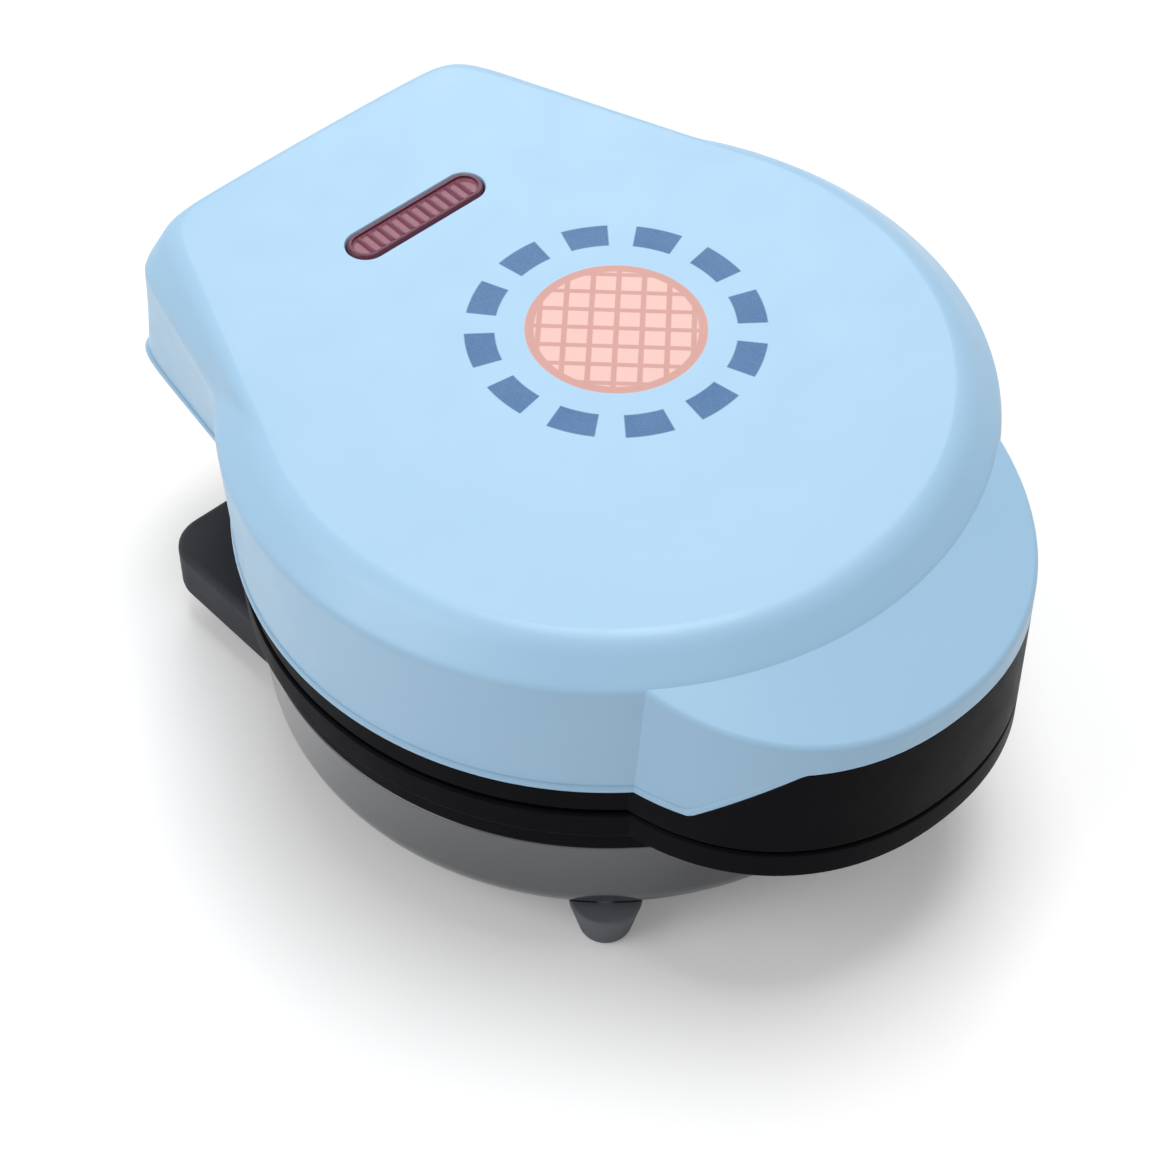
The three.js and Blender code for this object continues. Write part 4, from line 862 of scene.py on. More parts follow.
def moulded(
    name, dark, light, rubbed_and_highlit, gloss, grain_scale, bump, specular=0.5, coat=0.0, clouds=28.0,
):
    """A moulded finish with clouds of colour, lighter edges (rubbed wear and a painted
    highlight) and a fine grain.
    """
    material, tree, shader, place = new_material(name)
    grain = add_group(tree, GRAIN, place, Scale=grain_scale)
    cloud = add_group(tree, CLOUDS, place, Scale=clouds)
    edges = add_group(tree, EDGE_WEAR_AND_HIGHLIGHT, place)
    tone = spread(tree, cloud["Mask"], 0, 1, 0.3, 0.7)
    colour = mix_colour(tree, tone, srgb(*dark), srgb(*light))
    # Lighter edges: partly rubbed wear, partly a painted highlight that marks the edge's shape.
    colour = mix_colour(tree, edges["Mask"], colour, srgb(*rubbed_and_highlit))
    set_inputs(shader, {
        "Base Color": colour,
        "Roughness": spread(tree, grain["Gloss Mask"], *gloss, 0.3, 0.7),
        "Specular IOR Level": specular, "Coat Weight": coat, "Coat Roughness": 0.12,
    })
    add_bump(shader, grain["Height"], bump, 0.05)
    return material


# The third colour of each finish, and of the platform below, is its edge colour: rubbed wear and
# a painted highlight.
FINISHES = {
    "lid_shell": moulded(
        "lid_blue_satin", (153, 191, 219), (156, 193, 221), (184, 212, 232),
        (0.32, 0.42), 2600.0, 0.25,
    ),
    "frame_plastic": moulded(
        "ring_black_satin", (8, 8, 12), (13, 13, 17), (38, 39, 44),
        (0.34, 0.46), 2200.0, 0.4, specular=0.025,
    ),
    "bowl_plastic": moulded(
        "bowl_black_gloss", (44, 47, 53), (51, 54, 61), (88, 92, 101),
        (0.16, 0.26), 1800.0, 0.12, specular=0.7, coat=0.9,
    ),
    "foot_rubber": moulded(
        "foot_rubber", (92, 94, 100), (102, 104, 110), (126, 128, 134),
        (0.62, 0.8), 1500.0, 0.6, specular=0.35,
    ),
    "holder": moulded(
        "lamp_holder_ivory", (226, 220, 204), (236, 231, 218), (246, 242, 232),
        (0.45, 0.6), 2000.0, 0.4,
    ),
    "ceramic": moulded(
        "steatite_unglazed", (222, 214, 196), (236, 230, 216), (244, 240, 230),
        (0.7, 0.88), 3200.0, 0.8, specular=0.3, clouds=90.0,
    ),
}
PLATFORM_GRAIN = moulded(
    "platform_grained", (45, 46, 52), (54, 55, 61), (78, 80, 88),
    (0.55, 0.7), 1500.0, 0.9, specular=0.22,
)
print("moulded finishes ready")

# %% [markdown]
# ## The print on the lid
#
# The lid carries a printed picture. This one has a peach waffle inside a ring of blue
# dashes. It is worked out from distances on the lid's top only, so it needs no image: a
# disc, a grid inside it, and a ring cut into dashes by the angle round the middle.

# %% Print for the lid's top
PRINT_CENTRE = (6.5, 5.0)
WAFFLE_RADIUS = 15.0
WAFFLE_PITCH = 6.0
WAFFLE_LINE = 1.3
WAFFLE_CRUST = 1.5
RING_MIDDLE = 22.4
RING_HALF = 2.5
DASHES = 12
DASH_SHARE = 0.62
INK_EDGE = 0.1
PEACH, PEACH_DARK, INK_BLUE = (224, 178, 168), (192, 138, 128), (6, 86, 140)


def inside(tree, value, limit):
    """One where the value is below the limit, nought above, with a soft edge."""
    return spread(tree, value, 1, 0, limit - INK_EDGE, limit + INK_EDGE)


def stripes(tree, value, pitch, width):
    """One on the lines of a stripe pattern with this pitch and line width."""
    return inside(tree, math_node(tree, "PINGPONG", value, pitch / 2), width / 2)


def add_print(material):
    tree = material.node_tree
    base = tree.nodes["Principled BSDF"].inputs["Base Color"]
    plain = base.links[0].from_socket
    place = tree.nodes.new("ShaderNodeTexCoord").outputs["Object"]

    def calc(operation, *values):
        return math_node(tree, operation, *values)

    parts = separate(tree, place)
    x = calc("MULTIPLY_ADD", parts["X"], 1 / MM, -PRINT_CENTRE[0])
    y = calc("MULTIPLY_ADD", parts["Y"], 1 / MM, -PRINT_CENTRE[1] - PLATE_Y)
    z = calc("MULTIPLY", parts["Z"], 1 / MM)
    reach = calc("SQRT", calc("MULTIPLY_ADD", x, x, calc("MULTIPLY", y, y)))
    on_top = calc("GREATER_THAN", z, LID_TOP - 0.1)
    speckle = noise_node(tree, place, 5200.0, 2.0)
    cover = calc("MULTIPLY", on_top, spread(tree, speckle, 0.9, 1.0, 0.3, 0.6))
    disc = calc("MULTIPLY", inside(tree, reach, WAFFLE_RADIUS), cover)
    grid = calc("MAXIMUM", *(
        stripes(tree, calc(way, x, y), WAFFLE_PITCH, WAFFLE_LINE) for way in ("ADD", "SUBTRACT")
    ))
    rim = calc("SUBTRACT", 1.0, inside(tree, reach, WAFFLE_RADIUS - WAFFLE_CRUST))
    crust = calc("MULTIPLY", calc("MAXIMUM", grid, rim), disc)
    way_round = calc("MULTIPLY", calc("ARCTAN2", y, x), RING_MIDDLE)
    dash_pitch = 2 * math.pi * RING_MIDDLE / DASHES
    dash = stripes(tree, way_round, dash_pitch, dash_pitch * DASH_SHARE)
    off = calc("ABSOLUTE", calc("SUBTRACT", reach, RING_MIDDLE))
    ring = calc("MULTIPLY", calc("MULTIPLY", inside(tree, off, RING_HALF), cover), dash)
    colour = plain
    for mask, ink in ((disc, PEACH), (crust, PEACH_DARK), (ring, INK_BLUE)):
        colour = mix_colour(tree, mask, colour, srgb(*ink))
    feed(base, colour)


add_print(FINISHES["lid_shell"])
print("print:", DASHES, "dashes round a waffle of", 2 * WAFFLE_RADIUS, "mm")

# %% [markdown]
# ## Metal, glass, coating and woven sleeve
#
# Steel is drawn or stamped, so its fine scratches run one way. The cooking plates are cast
# and then sprayed, which leaves a pebbled skin with tiny flecks. The leads wear a braided
# sleeve, and the lens is a dark red plastic. Its sunk middle is painted lighter, as painted
# light through the thin plastic, and its raised rim is painted darker, partly its own dark
# border and partly painted shade from the gap round it.

# %% Steel, coated plate, sleeve, glass and lens
STRAND = 0.25 * MM


def build_steel():
    material, tree, shader, place = new_material("drawn_steel")
    along = tree.nodes.new("ShaderNodeMapping")
    set_inputs(along, {"Vector": place, "Scale": (1.0, 0.04, 1.0)})
    lines = noise_node(tree, along.outputs["Vector"], 9000.0, 2.0)
    stains = spread(tree, noise_node(tree, place, 140.0, 3.0), 0, 1, 0.35, 0.7)
    set_inputs(shader, {
        "Base Color": mix_colour(tree, stains, srgb(176, 179, 183), srgb(206, 208, 210)),
        "Roughness": spread(tree, lines, 0.22, 0.42, 0.3, 0.7), "Metallic": 1,
    })
    add_bump(shader, lines, 0.2, 0.01)
    return material


def build_coating():
    material, tree, shader, place = new_material("plate_coating")
    pebbles = noise_node(tree, place, 1500.0, 2.0, 0.4)
    flecks = spread(tree, noise_node(tree, place, 4200.0, 1.0), 0, 0.5, 0.62, 0.68)
    edges = add_group(tree, EDGE_WEAR_AND_HIGHLIGHT, place)
    dark = mix_colour(tree, flecks, srgb(42, 40, 41), srgb(92, 90, 92))
    set_inputs(shader, {
        # Lighter edges on the coating: partly rubbed wear, partly a painted highlight.
        "Base Color": mix_colour(tree, edges["Mask"], dark, srgb(88, 84, 82)),
        "Roughness": spread(tree, pebbles, 0.3, 0.48, 0.3, 0.7),
    })
    add_bump(shader, pebbles, 0.35, 0.05)
    return material


def build_sleeve():
    material, tree, shader, place = new_material("braided_sleeve")
    parts = separate(tree, place)
    strands = []
    for slant in (1.0, -1.0):
        flat = math_node(tree, "MULTIPLY_ADD", parts["X"], slant, parts["Z"])
        along = math_node(tree, "ADD", flat, parts["Y"])
        strands.append(math_node(tree, "PINGPONG", along, STRAND))
    woven = spread(tree, math_node(tree, "MAXIMUM", *strands), 0, 1, 0, STRAND)
    dirt = noise_node(tree, place, 300.0, 3.0)
    shade = mix_colour(tree, woven, srgb(186, 180, 168), srgb(226, 221, 211))
    soiled = spread(tree, dirt, 0, 0.35, 0.5, 0.8)
    set_inputs(shader, {
        "Base Color": mix_colour(tree, soiled, shade, srgb(170, 160, 142)),
        "Roughness": spread(tree, dirt, 0.75, 0.95),
    })
    add_bump(shader, woven, 0.6, 0.1)
    return material


def build_glass():
    material, tree, shader, place = new_material("lamp_glass")
    swirl = noise_node(tree, place, 260.0, 1.0)
    set_inputs(shader, {
        "Base Color": mix_colour(tree, swirl, srgb(247, 214, 190), srgb(250, 232, 218)),
        "Roughness": spread(tree, swirl, 0.03, 0.08), "Transmission Weight": 0.85,
    })
    return material


def build_lens():
    material, tree, shader, place = new_material("lens_red")
    height = separate(tree, place)["Z"]
    # Painted light and shade: the raised rim is painted darker, partly the lens's own dark
    # border and partly painted shade from the gap round it; the sunk middle is painted lighter,
    # as painted light through the thin plastic.
    rim_and_gap_shade = spread(tree, height, 0, 1, (OBJECT_TOP - 0.5) * MM, (OBJECT_TOP - 0.1) * MM)
    swirl = noise_node(tree, place, 420.0, 2.0)
    thin_and_lit_tint = mix_colour(tree, swirl, srgb(128, 72, 90), srgb(146, 88, 106))
    set_inputs(shader, {
        "Base Color": mix_colour(tree, rim_and_gap_shade, thin_and_lit_tint, srgb(84, 26, 52)),
        "Roughness": spread(tree, swirl, 0.16, 0.26), "Specular IOR Level": 0.3,
    })
    return material


FINISHES.update({
    "steel": build_steel(), "coated_plate": build_coating(), "lead_sleeve": build_sleeve(),
    "lamp_glass": build_glass(), "lens": build_lens(),
})
for row in frame["record"]["subparts"]:
    solid = frame["nodes"][row["node"]]
    solid.data.materials.clear()
    solid.data.materials.append(FINISHES[row["material_slot"]])
print("finishes:", sorted(FINISHES))

# %% Finish the lid's shell
finish_piece(lid, "lid", "lid_shell", "lid_housing", sharp=20)

# %% [markdown]
# ## The indicator's lens
#
# The lens stands 0.3 mm proud of the lid. Its middle is sunk, and a row of ribs in it
# spreads the lamp's light. A flange holds it from below.

# %% Lens with its ribs
LENS_SEAT = CEILING - CLEARANCE
LENS_SUNK = OBJECT_TOP - 0.7
RIB_COUNT = 11
RIB_RADIUS = 0.45

lens = slot_form("lens", LENS_HALF_SPAN, LENS_END, LENS_Y, [
    (LENS_SEAT - 1.0, 0), (OBJECT_TOP - 0.4, 0), (OBJECT_TOP - 0.2, 0.06),
    (OBJECT_TOP - 0.06, 0.2), (OBJECT_TOP, 0.45),
])
union(lens, slot_form("flange", LENS_HALF_SPAN, LENS_END + 1.4, LENS_Y, [
    (LENS_SEAT - 1.6, 0), (LENS_SEAT, 0),
]))
carve(lens, slot_form("sink", LENS_HALF_SPAN, LENS_END - 0.9, LENS_Y, [
    (LENS_SUNK, 0.25), (LENS_SUNK + 0.2, 0), (OBJECT_TOP, -0.1), (OBJECT_TOP + 1, -0.1),
]))
for place in spaced(-LENS_HALF_SPAN, LENS_HALF_SPAN, RIB_COUNT - 1):
    union(lens, bar_along(
        "rib", circle(RIB_RADIUS, 16, place, LENS_SUNK),
        LENS_Y - LENS_END + 1.2, LENS_Y + LENS_END - 1.2,
    ))
finish_piece(lens, "lid", "lens", "indicator_lens", sharp=20)

# %% [markdown]
# ## The lid's black frame
#
# Below the blue rim, a black frame holds the upper plate. In front it rises into the tall
# grip that fills the visor. At the rear it closes the lid from below and carries two lugs
# that hang round the hinge pins.

# %% Frame, rear tongue, lugs and upper grip
FRAME_OPENING = 57.4
LEDGE = 51.6
SEAT = 2.3
LEDGE_THICK = 2.5
BEZEL_RADIUS = 62.3
TONGUE_THICK = 1.5
TONGUE_INSIDE = 60.0
TONGUE_INSET = 3.0
FRAME_WALL = 1.6
BARREL = 5.5
PIN_BORE = 2.3
LUG_INNER, LUG_OUTER = 24.0, 31.0
LUG_BACK = HINGE_Y + 3.1
LEAD_SLOT_HALF = 9
LID_CORE = 64.5
EDGE_ROUND = 0.5

face = PARTING + CLEARANCE
seat, ledge_top = face + SEAT, face + SEAT + LEDGE_THICK
tongue_foot = RIM + CLEARANCE
tongue_top = tongue_foot + TONGUE_THICK
lid_frame = turned("lid_frame", [
    (FRAME_OPENING, face, 0.3), (BEZEL_RADIUS, face, 0.6),
    (BEZEL_RADIUS, RIM - CLEARANCE, 0.4), (TONGUE_INSIDE, RIM - CLEARANCE, 0),
    (TONGUE_INSIDE, tongue_top, 0.2), (TONGUE_INSIDE - FRAME_WALL, tongue_top, 0.2),
    (TONGUE_INSIDE - FRAME_WALL, ledge_top, 0), (LEDGE, ledge_top, 0.3),
    (LEDGE, seat, 0.3), (FRAME_OPENING, seat, 0),
])
tongue = lid_form("tongue", [
    (tongue_foot, TONGUE_INSET), (tongue_top, TONGUE_INSET),
], spoke_angles(LID_SPOKES // 2))
carve(
    tongue,
    drum("core", TONGUE_INSIDE - 1.2, tongue_foot - OVERRUN, tongue_top + OVERRUN),
    block("front", (-70, -70, RIM - OVERRUN), (70, 0, RIM + OVERRUN)),
    block(
        "lead_slot", (-LEAD_SLOT_HALF, HINGE_Y - BARREL, RIM - OVERRUN),
        (LEAD_SLOT_HALF, HINGE_Y + 3.3, RIM + OVERRUN),
    ),
)
union(lid_frame, tongue)

lug_outline = arc(BARREL, 180, 360, 16, HINGE_Y, HINGE_Z) + [
    (LUG_BACK, HINGE_Z + BARREL), (LUG_BACK, tongue_foot + 0.7),
    (HINGE_Y - BARREL, tongue_foot + 0.7),
]
bore_outline = circle(PIN_BORE, 48, HINGE_Y, HINGE_Z)
for side in (-1, 1):
    ends = sorted((side * LUG_INNER, side * LUG_OUTER))
    lug = round_edges(bar_across("lug", lug_outline, *ends), EDGE_ROUND, angle=40)
    carve(lug, bar_across("bore", bore_outline, ends[0] - 1, ends[1] + 1))
    union(lid_frame, lug)


def above_visor_edge(drop):
    """Everything above the visor's lower edge, less a drop."""
    rim = RIM - drop
    return bar_across("roof", [
        (-90, rim + VISOR_RISE), (-VISOR_STEP - VISOR_RISE, rim + VISOR_RISE),
        (-VISOR_STEP, rim), (30, rim), (30, 95), (-90, 95),
    ], -60, 60)


foot_levels = soft_edge(face, SHOULDER, EDGE_ROUND)[:6]
upper_grip = grip_form("upper_grip", foot_levels + [(SHOULDER, 0)])
carve(
    upper_grip, above_visor_edge(CLEARANCE),
    drum("frame_core", BEZEL_RADIUS - 1.2, face - OVERRUN, SHOULDER + OVERRUN),
    drum("lid_core", LID_CORE, RIM - CLEARANCE, SHOULDER + OVERRUN),
)
room = grip_form("room", [(face - OVERRUN, GRIP_WALL), (SHOULDER, GRIP_WALL)])
carve(
    room, above_visor_edge(CLEARANCE + 1.3 * GRIP_WALL),
    drum("frame_core", BEZEL_RADIUS, face - 2 * OVERRUN, SHOULDER + OVERRUN),
    drum("lid_core", LID_CORE + GRIP_WALL, RIM - GRIP_WALL, SHOULDER + OVERRUN),
)
carve(upper_grip, room)
union(lid_frame, upper_grip)
finish_piece(lid_frame, "lid", "frame_plastic", "lid_bezel")

# %% [markdown]
# ## The base ring
#
# A black ring closes the bowl. It holds the lower plate, reaches forward as a thin grip
# with a finger hollow, and carries the hinge block at the rear.

# %% Base ring, lower grip and hinge block
RING_RADIUS = 62.6
BOWL_RADIUS = 61.0
BOWL_OPENING = 61.4
BAND_FOOT = 33.3
BLOCK_HALF = 23.4
BLOCK_FRONT = 30.0
PIN_REACH = 9

face = PARTING - CLEARANCE
seat, ledge_foot = face - SEAT, face - SEAT - LEDGE_THICK
base_ring = turned("base_ring", [
    (FRAME_OPENING, face, 0.3), (FRAME_OPENING, seat, 0), (LEDGE, seat, 0.3),
    (LEDGE, ledge_foot, 0.3), (BOWL_RADIUS - 2.4, ledge_foot, 0),
    (BOWL_RADIUS - 2.4, RING_FOOT + CLEARANCE, 0.2), (BOWL_RADIUS, RING_FOOT + CLEARANCE, 0.3),
    (BOWL_RADIUS, BAND_FOOT, 0), (RING_RADIUS, BAND_FOOT, 0.6), (RING_RADIUS, face, 0.6),
])
lower_grip = grip_form("lower_grip", soft_edge(BAND_FOOT, face, 0.6))
carve(lower_grip, drum("core", BOWL_OPENING, BAND_FOOT - OVERRUN, face + OVERRUN))
room = grip_form("room", [(BAND_FOOT - OVERRUN, GRIP_WALL), (face - GRIP_WALL, GRIP_WALL)])
carve(room, drum("core", RING_RADIUS, BAND_FOOT - 2 * OVERRUN, face + OVERRUN))
carve(lower_grip, room)
union(base_ring, lower_grip)

block_foot = PLATFORM_TOP + CLEARANCE
hinge_block = bar_across("hinge_block", [
    (BLOCK_FRONT, block_foot), (HINGE_Y + BARREL, block_foot),
    *arc(BARREL, 0, 135, 18, HINGE_Y, HINGE_Z),
    (BLOCK_FRONT, HINGE_Z + BARREL * math.sqrt(0.5)),
], -BLOCK_HALF, BLOCK_HALF)
round_edges(hinge_block, 0.8, angle=40)
carve(hinge_block, drum("core", BOWL_OPENING, block_foot - OVERRUN, 60))
union(base_ring, hinge_block)
for side in (-1, 1):
    ends = sorted((side * (BLOCK_HALF - PIN_REACH), side * (BLOCK_HALF + OVERRUN)))
    carve(base_ring, bar_across("bore", bore_outline, *ends))
slot_back = HINGE_Y + BARREL - 2.2
for name, half, low, high in (
    ("lead_slot", LEAD_SLOT_HALF, (HINGE_Y - BARREL + 2.2, 29.5), (slot_back, 60)),
    ("lead_way", LEAD_SLOT_HALF + 0.01, (57.9, 29.51), (slot_back - 0.01, 33.5)),
    ("lead_notch", LEAD_SLOT_HALF - 0.01, (57.91, 25.3), (61.2, 29.8)),
):
    carve(base_ring, block(name, (-half, *low), (half, *high)))
finish_piece(base_ring, "base", "frame_plastic", "base_housing")

# %% [markdown]
# ## The bowl and its rear platform
#
# The glossy bowl is turned with a wide soft corner above the floor. A flat platform with
# round corners sticks out behind it under the hinge, and has a dull grain of its own. Both
# are hollow, with bosses left standing inside for the screws and the feet, and three slots
# let cooling air in.

# %% Bowl with platform, bosses, recesses and vents
PLATFORM_HALF = 48.0
PLATFORM_FRONT = 30.0
PLATFORM_CORNER = 7.0
PLATFORM_EDGE = 1.4
BOWL_FOOT = 59.3
WAIST_RADIUS, WAIST = 60.2, 18.0
SCREW_PLACES = [*arc(55, 240, 300, 1), (-16, 62), (16, 62)]
FOOT_PLACES = {
    "foot_front_left": (-37.9, -41.2), "foot_front_right": (37.9, -41.2),
    "foot_rear_left": (-35, 55), "foot_rear_right": (35, 55),
}
SCREW_SEAT = BOWL_FLOOR + 4.5
SCREW_RECESS, SCREW_BORE, SCREW_BOSS = 2.8, 1.7, 4.2
STEM_HOLE, FOOT_BOSS = 2.3, 6.2
FRONT_BOSS_TOP, REAR_BOSS_TOP, FOOT_BOSS_TOP = 19.7, 30.0, 15.0
INLET_RADIUS = 3.4
VENT_PITCH = 8
VENT_HALF_SPAN = 13
GLAND_Z = (BOWL_FLOOR + PLATFORM_TOP) / 2


def platform_form(name, levels):
    """A slab with round corners, stacked through levels of (height, inset)."""
    rings = []
    for height, inset in levels:
        radius = PLATFORM_CORNER - inset / 2
        x = PLATFORM_HALF - inset - radius
        front, rear = PLATFORM_FRONT + inset + radius, PLATFORM_REAR - inset - radius
        ring = []
        for i, middle in enumerate(((x, rear), (-x, rear), (-x, front), (x, front))):
            ring += arc(radius, 90 * i, 90 * (i + 1), 12, *middle)
        rings.append([(*point, height) for point in ring])
    return stacked(name, rings)


def bowl_outline(inset, foot, top, foot_curve, waist_curve, lip=0):
    """Corners of the bowl's section, moved inwards by an inset."""
    return [
        (0, foot, 0), (BOWL_FOOT - inset, foot, foot_curve),
        (WAIST_RADIUS - inset, WAIST, waist_curve), (BOWL_RADIUS - inset, top, lip), (0, top, 0),
    ]


bowl = turned("bowl", bowl_outline(0, BOWL_FLOOR, RING_FOOT, 8, 12, 0.3), curve_steps=10)
union(bowl, platform_form("platform", soft_edge(BOWL_FLOOR, PLATFORM_TOP, PLATFORM_EDGE)))
floor_top = BOWL_FLOOR + SHELL_WALL
room = turned("room", bowl_outline(SHELL_WALL, floor_top, RING_FOOT + OVERRUN, 5.6, 10))
union(room, platform_form("platform_room", [
    (floor_top + 0.01, SHELL_WALL), (PLATFORM_TOP - SHELL_WALL, SHELL_WALL),
]))
bosses = [(place, SCREW_BOSS, FRONT_BOSS_TOP) for place in SCREW_PLACES[:2]]
bosses += [(place, SCREW_BOSS, REAR_BOSS_TOP) for place in SCREW_PLACES[2:]]
bosses += [(place, FOOT_BOSS, FOOT_BOSS_TOP) for place in FOOT_PLACES.values()]
for place, radius, boss_top in bosses:
    carve(room, drum("boss", radius, BOWL_FLOOR - 1, boss_top, place, 48))
carve(bowl, room)
for place in SCREW_PLACES:
    carve(bowl, drum("recess", SCREW_RECESS, BOWL_FLOOR - OVERRUN, SCREW_SEAT, place, 48))
    carve(bowl, drum("bore", SCREW_BORE, BOWL_FLOOR, 23, place, 32))
for place in FOOT_PLACES.values():
    carve(bowl, drum("stem_hole", STEM_HOLE, BOWL_FLOOR - OVERRUN, BOWL_FLOOR + 4.3, place, 32))
vent_levels = [(BOWL_FLOOR - 0.3, -0.6), (BOWL_FLOOR + 0.3, 0), (floor_top + 1, 0)]
for i in (-1, 0, 1):
    carve(bowl, slot_form("vent", VENT_HALF_SPAN, 1.0, i * VENT_PITCH, vent_levels))
inlet = circle(INLET_RADIUS, 48, 0, GLAND_Z)
carve(bowl, bar_along("inlet", inlet, PLATFORM_REAR - SHELL_WALL - 1, PLATFORM_REAR + 1))
finish_piece(weld(bowl), "base", "bowl_plastic", "base_bowl")

on_platform_top = face_test((0, 0, 1), PLATFORM_TOP - CLEARANCE, PLATFORM_TOP + CLEARANCE)


def on_platform(face):
    """The platform's top, and whatever lies outside the bowl's own radius."""
    middle = face.calc_center_median() / MM
    outside = math.hypot(middle.x, middle.y - PLATE_Y) > BOWL_RADIUS + CLEARANCE
    return outside or on_platform_top(face)


bowl.data.materials.append(PLATFORM_GRAIN)
edit(bowl)
pick(bowl, "FACE", on_platform)
bowl.active_material_index = 1
bpy.ops.object.material_slot_assign()
leave_edit()
print("grained platform:", sum(face.material_index for face in bowl.data.polygons), "faces")

# %% [markdown]
# ## Feet, screws, gland and hinge pins
#
# Feet and screws are modelled once and copied, and each copy has a mesh of its own. The
# front feet stand under the bowl's round corner, so their collars are cut to follow it.

# %% Feet
def copy_of(obj, name):
    twin = obj.copy()
    twin.data = obj.data.copy()
    bpy.context.scene.collection.objects.link(twin)
    return new_name(twin, name)


def moved(obj, x, y, z=0.0):
    obj.location = Vector((x, y, z)) * MM
    return apply_place(obj)


FOOT_SOLE = 4.3
FOOT_FLARE = 0.242
COLLAR_RISE = 2.2
STEM_RADIUS = 2.0

foot_top = BOWL_FLOOR - CLEARANCE
collar_top = foot_top + COLLAR_RISE
foot = turned("foot", [
    (0, 0.4, 0), (2.2, 0.4, 0.2), (2.5, 0, 0.1), (FOOT_SOLE, 0, 1.2),
    (FOOT_SOLE + FOOT_FLARE * collar_top, collar_top, 0.6), (0, collar_top, 0),
], 64)
bowl_space = turned(
    "bowl_space", bowl_outline(-CLEARANCE, foot_top, RING_FOOT, 8, 12), curve_steps=10,
)
union(bowl_space, block(
    "platform_space", (-PLATFORM_HALF, PLATFORM_FRONT, foot_top - FINE),
    (PLATFORM_HALF, PLATFORM_REAR, RING_FOOT - 1),
))
for name, place in FOOT_PLACES.items():
    twin = moved(copy_of(foot, name.replace("foot", "rubber_foot")), *place)
    carve(twin, copy_of(bowl_space, "foot_space"))
    union(twin, drum("stem", STEM_RADIUS, foot_top - 1, foot_top + 4, place, 64))
    finish_piece(twin, "base", "foot_rubber", name)
for tool in (foot, bowl_space):
    bpy.data.objects.remove(tool)

# %% Screws with a cross recess
SCREW_HEAD, SCREW_SHANK, SCREW_LENGTH = 2.5, 1.4, 18

head_top = SCREW_SEAT - CLEARANCE
head_face, tip = head_top - 1.5, head_top + SCREW_LENGTH
screw = turned("screw", [
    (0, head_face, 0), (SCREW_HEAD, head_face, 0.7), (SCREW_HEAD, head_top, 0.1),
    (SCREW_SHANK, head_top, 0), (SCREW_SHANK, tip, 0.3), (0, tip, 0),
], 48)
for half_x, half_y in ((1.5, 0.35), (0.35, 1.5)):
    carve(screw, block(
        "cross", (-half_x, -half_y, head_face - 1), (half_x, half_y, head_face + 0.9),
    ))
for i, place in enumerate(SCREW_PLACES):
    twin = moved(copy_of(screw, f"floor_screw_{i + 1}"), *place)
    finish_piece(twin, "base", "steel", f"base_screw_{i + 1}")
bpy.data.objects.remove(screw)

# %% Cord gland and hinge pins
GLAND_BORE, GLAND_NECK, GLAND_FLANGE, GLAND_LIP = 2.6, 3.1, 3.9, 1.4
PIN_RADIUS = 2.0

inner, outer = PLATFORM_REAR - SHELL_WALL - CLEARANCE, PLATFORM_REAR + CLEARANCE
gland = turned("inlet_gland", [
    (GLAND_BORE, inner - GLAND_LIP, 0.2), (GLAND_FLANGE, inner - GLAND_LIP, 0.3),
    (GLAND_FLANGE, inner, 0.2), (GLAND_NECK, inner, 0), (GLAND_NECK, outer, 0),
    (GLAND_FLANGE, outer, 0.2), (GLAND_FLANGE, outer + GLAND_LIP, 0.5),
    (GLAND_BORE, outer + GLAND_LIP, 0.5),
], 64)
gland.rotation_euler = (-math.pi / 2, 0, 0)
moved(gland, 0, 0, GLAND_Z)
finish_piece(gland, "base", "foot_rubber", "cord_gland")

pin_start, pin_end = BLOCK_HALF - PIN_REACH + CLEARANCE, LUG_OUTER - 0.4
for side, name in ((-1, "left"), (1, "right")):
    pin = turned(f"steel_pin_{name}", [
        (0, pin_start, 0), (PIN_RADIUS, pin_start, 0.4), (PIN_RADIUS, pin_end, 0.5),
        (0, pin_end, 0),
    ], 48)
    pin.rotation_euler = (0, side * math.pi / 2, 0)
    moved(pin, 0, HINGE_Y, HINGE_Z)
    finish_piece(pin, "base", "steel", f"hinge_pin_{name}")

# %% [markdown]
# ## The waffle plates
#
# Both plates are the same casting, face to face: a dish with a flange, and a field of square
# pegs with drafted sides and soft edges. One peg is modelled from a cube, and copies of it
# fill the grid. The round wall of the dish trims the outer ones.

# %% Plates with their pegs
DISH_DEPTH = 8.0
DISH_RADIUS = 48.8
PLATE_BACK = 10.8
PLATE_FLANGE = 57.0
FLANGE_THICK = 2.0
BACK_FOOT, BACK_HEAD = 51.2, 50.1
PEG_PITCH = 13.2
PEG_ROOT = 9.6
PEG_TIP = 7.6
PEG_HEIGHT = 5.2
PEG_SUNK = 1.4
PEG_FIELD = 47.6

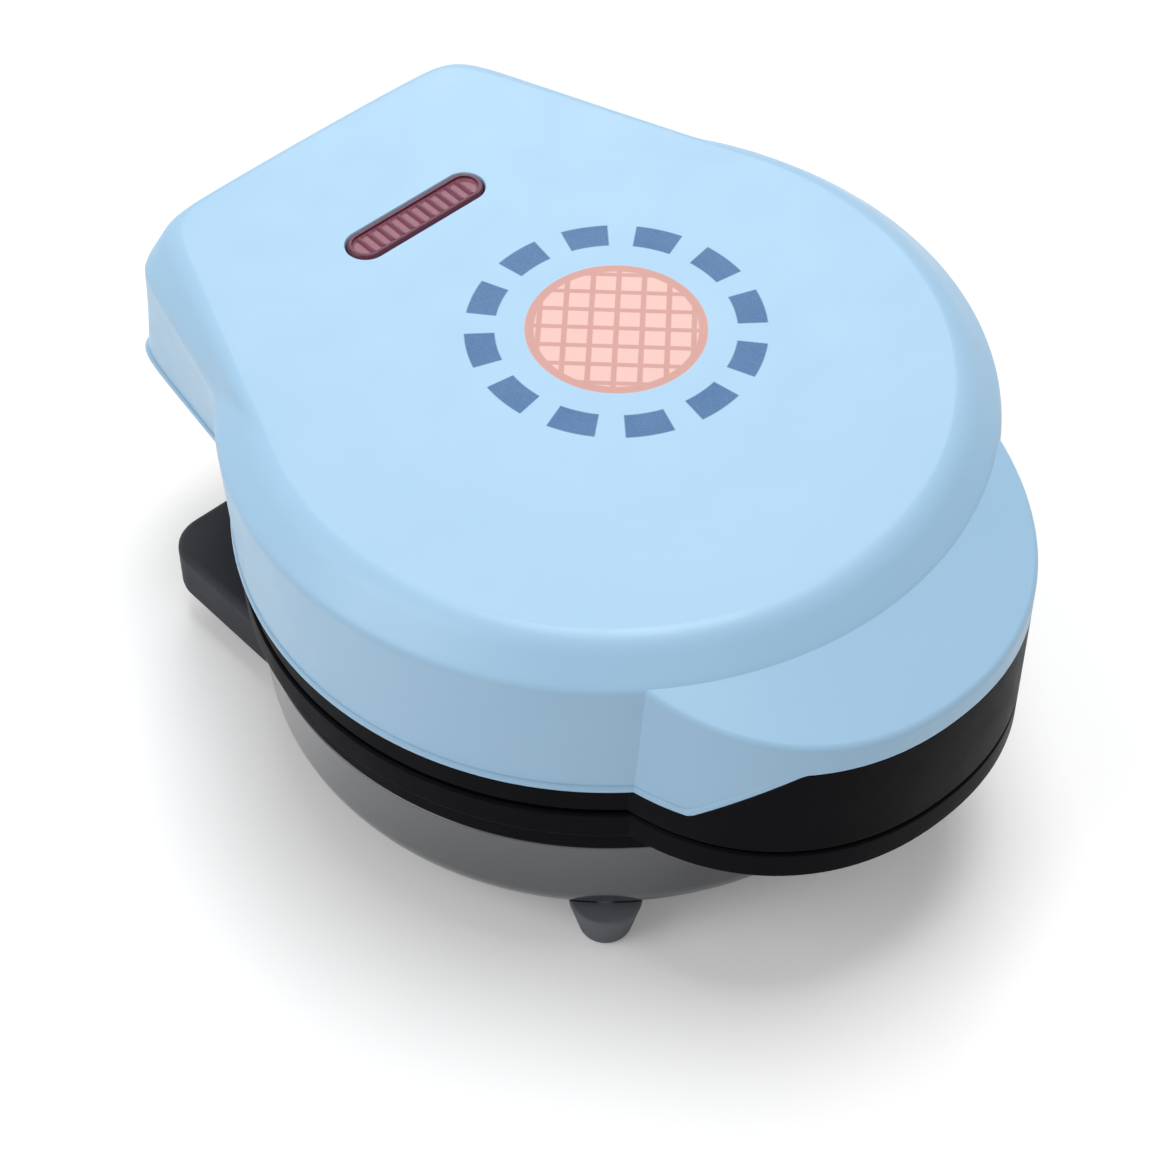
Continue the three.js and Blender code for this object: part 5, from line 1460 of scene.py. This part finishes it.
peg_low, peg_high = DISH_DEPTH - PEG_HEIGHT, DISH_DEPTH + PEG_SUNK
clear_selection()
bpy.ops.mesh.primitive_cube_add(size=1)
peg = new_name(bpy.context.object, "peg")
peg.scale = Vector((PEG_TIP, PEG_TIP, peg_high - peg_low)) * MM
moved(peg, 0, 0, (peg_low + peg_high) / 2)
edit(peg)
pick(peg, "FACE", face_test((0, 0, 1)))
widening = (PEG_ROOT + (PEG_ROOT - PEG_TIP) / PEG_HEIGHT * PEG_SUNK) / PEG_TIP
bpy.ops.transform.resize(value=(widening, widening, 1))
leave_edit()
round_edges(peg, 0.7)

twins = []
reach = math.ceil(PEG_FIELD / PEG_PITCH)
for row in range(-reach, reach):
    for column in range(-reach, reach):
        x, y = (column + 0.5) * PEG_PITCH, (row + 0.5) * PEG_PITCH
        near = [max(abs(value) - PEG_ROOT / 4, 0) for value in (x, y)]
        if math.hypot(*near) <= PEG_FIELD:
            twins.append(moved(copy_of(peg, "peg_copy"), x, y))
bpy.data.objects.remove(peg)
clear_selection()
for twin in twins:
    twin.select_set(True)
pegs = twins[0]
bpy.context.view_layer.objects.active = pegs
bpy.ops.object.join()
combine(pegs, "INTERSECT", drum("field", PEG_FIELD, peg_low - 1, peg_high + 1))
print("pegs:", len(twins))

plate = turned("plate", [
    (0, DISH_DEPTH, 0), (DISH_RADIUS - 1.1, DISH_DEPTH, 1.5), (DISH_RADIUS, 0, 0.6),
    (PLATE_FLANGE, 0, 0.4), (PLATE_FLANGE, FLANGE_THICK, 0.4), (BACK_FOOT, FLANGE_THICK, 0.5),
    (BACK_HEAD, PLATE_BACK, 1.2), (0, PLATE_BACK, 0),
])
union(plate, pegs)
lower = copy_of(plate, "waffle_plate_lower")
lower.rotation_euler = (0, math.pi, 0)
moved(lower, 0, 0, PARTING - CLEARANCE)
upper = moved(new_name(plate, "waffle_plate_upper"), 0, 0, PARTING + CLEARANCE)
finish_piece(lower, "base", "coated_plate", "lower_plate")
finish_piece(upper, "lid", "coated_plate", "upper_plate")
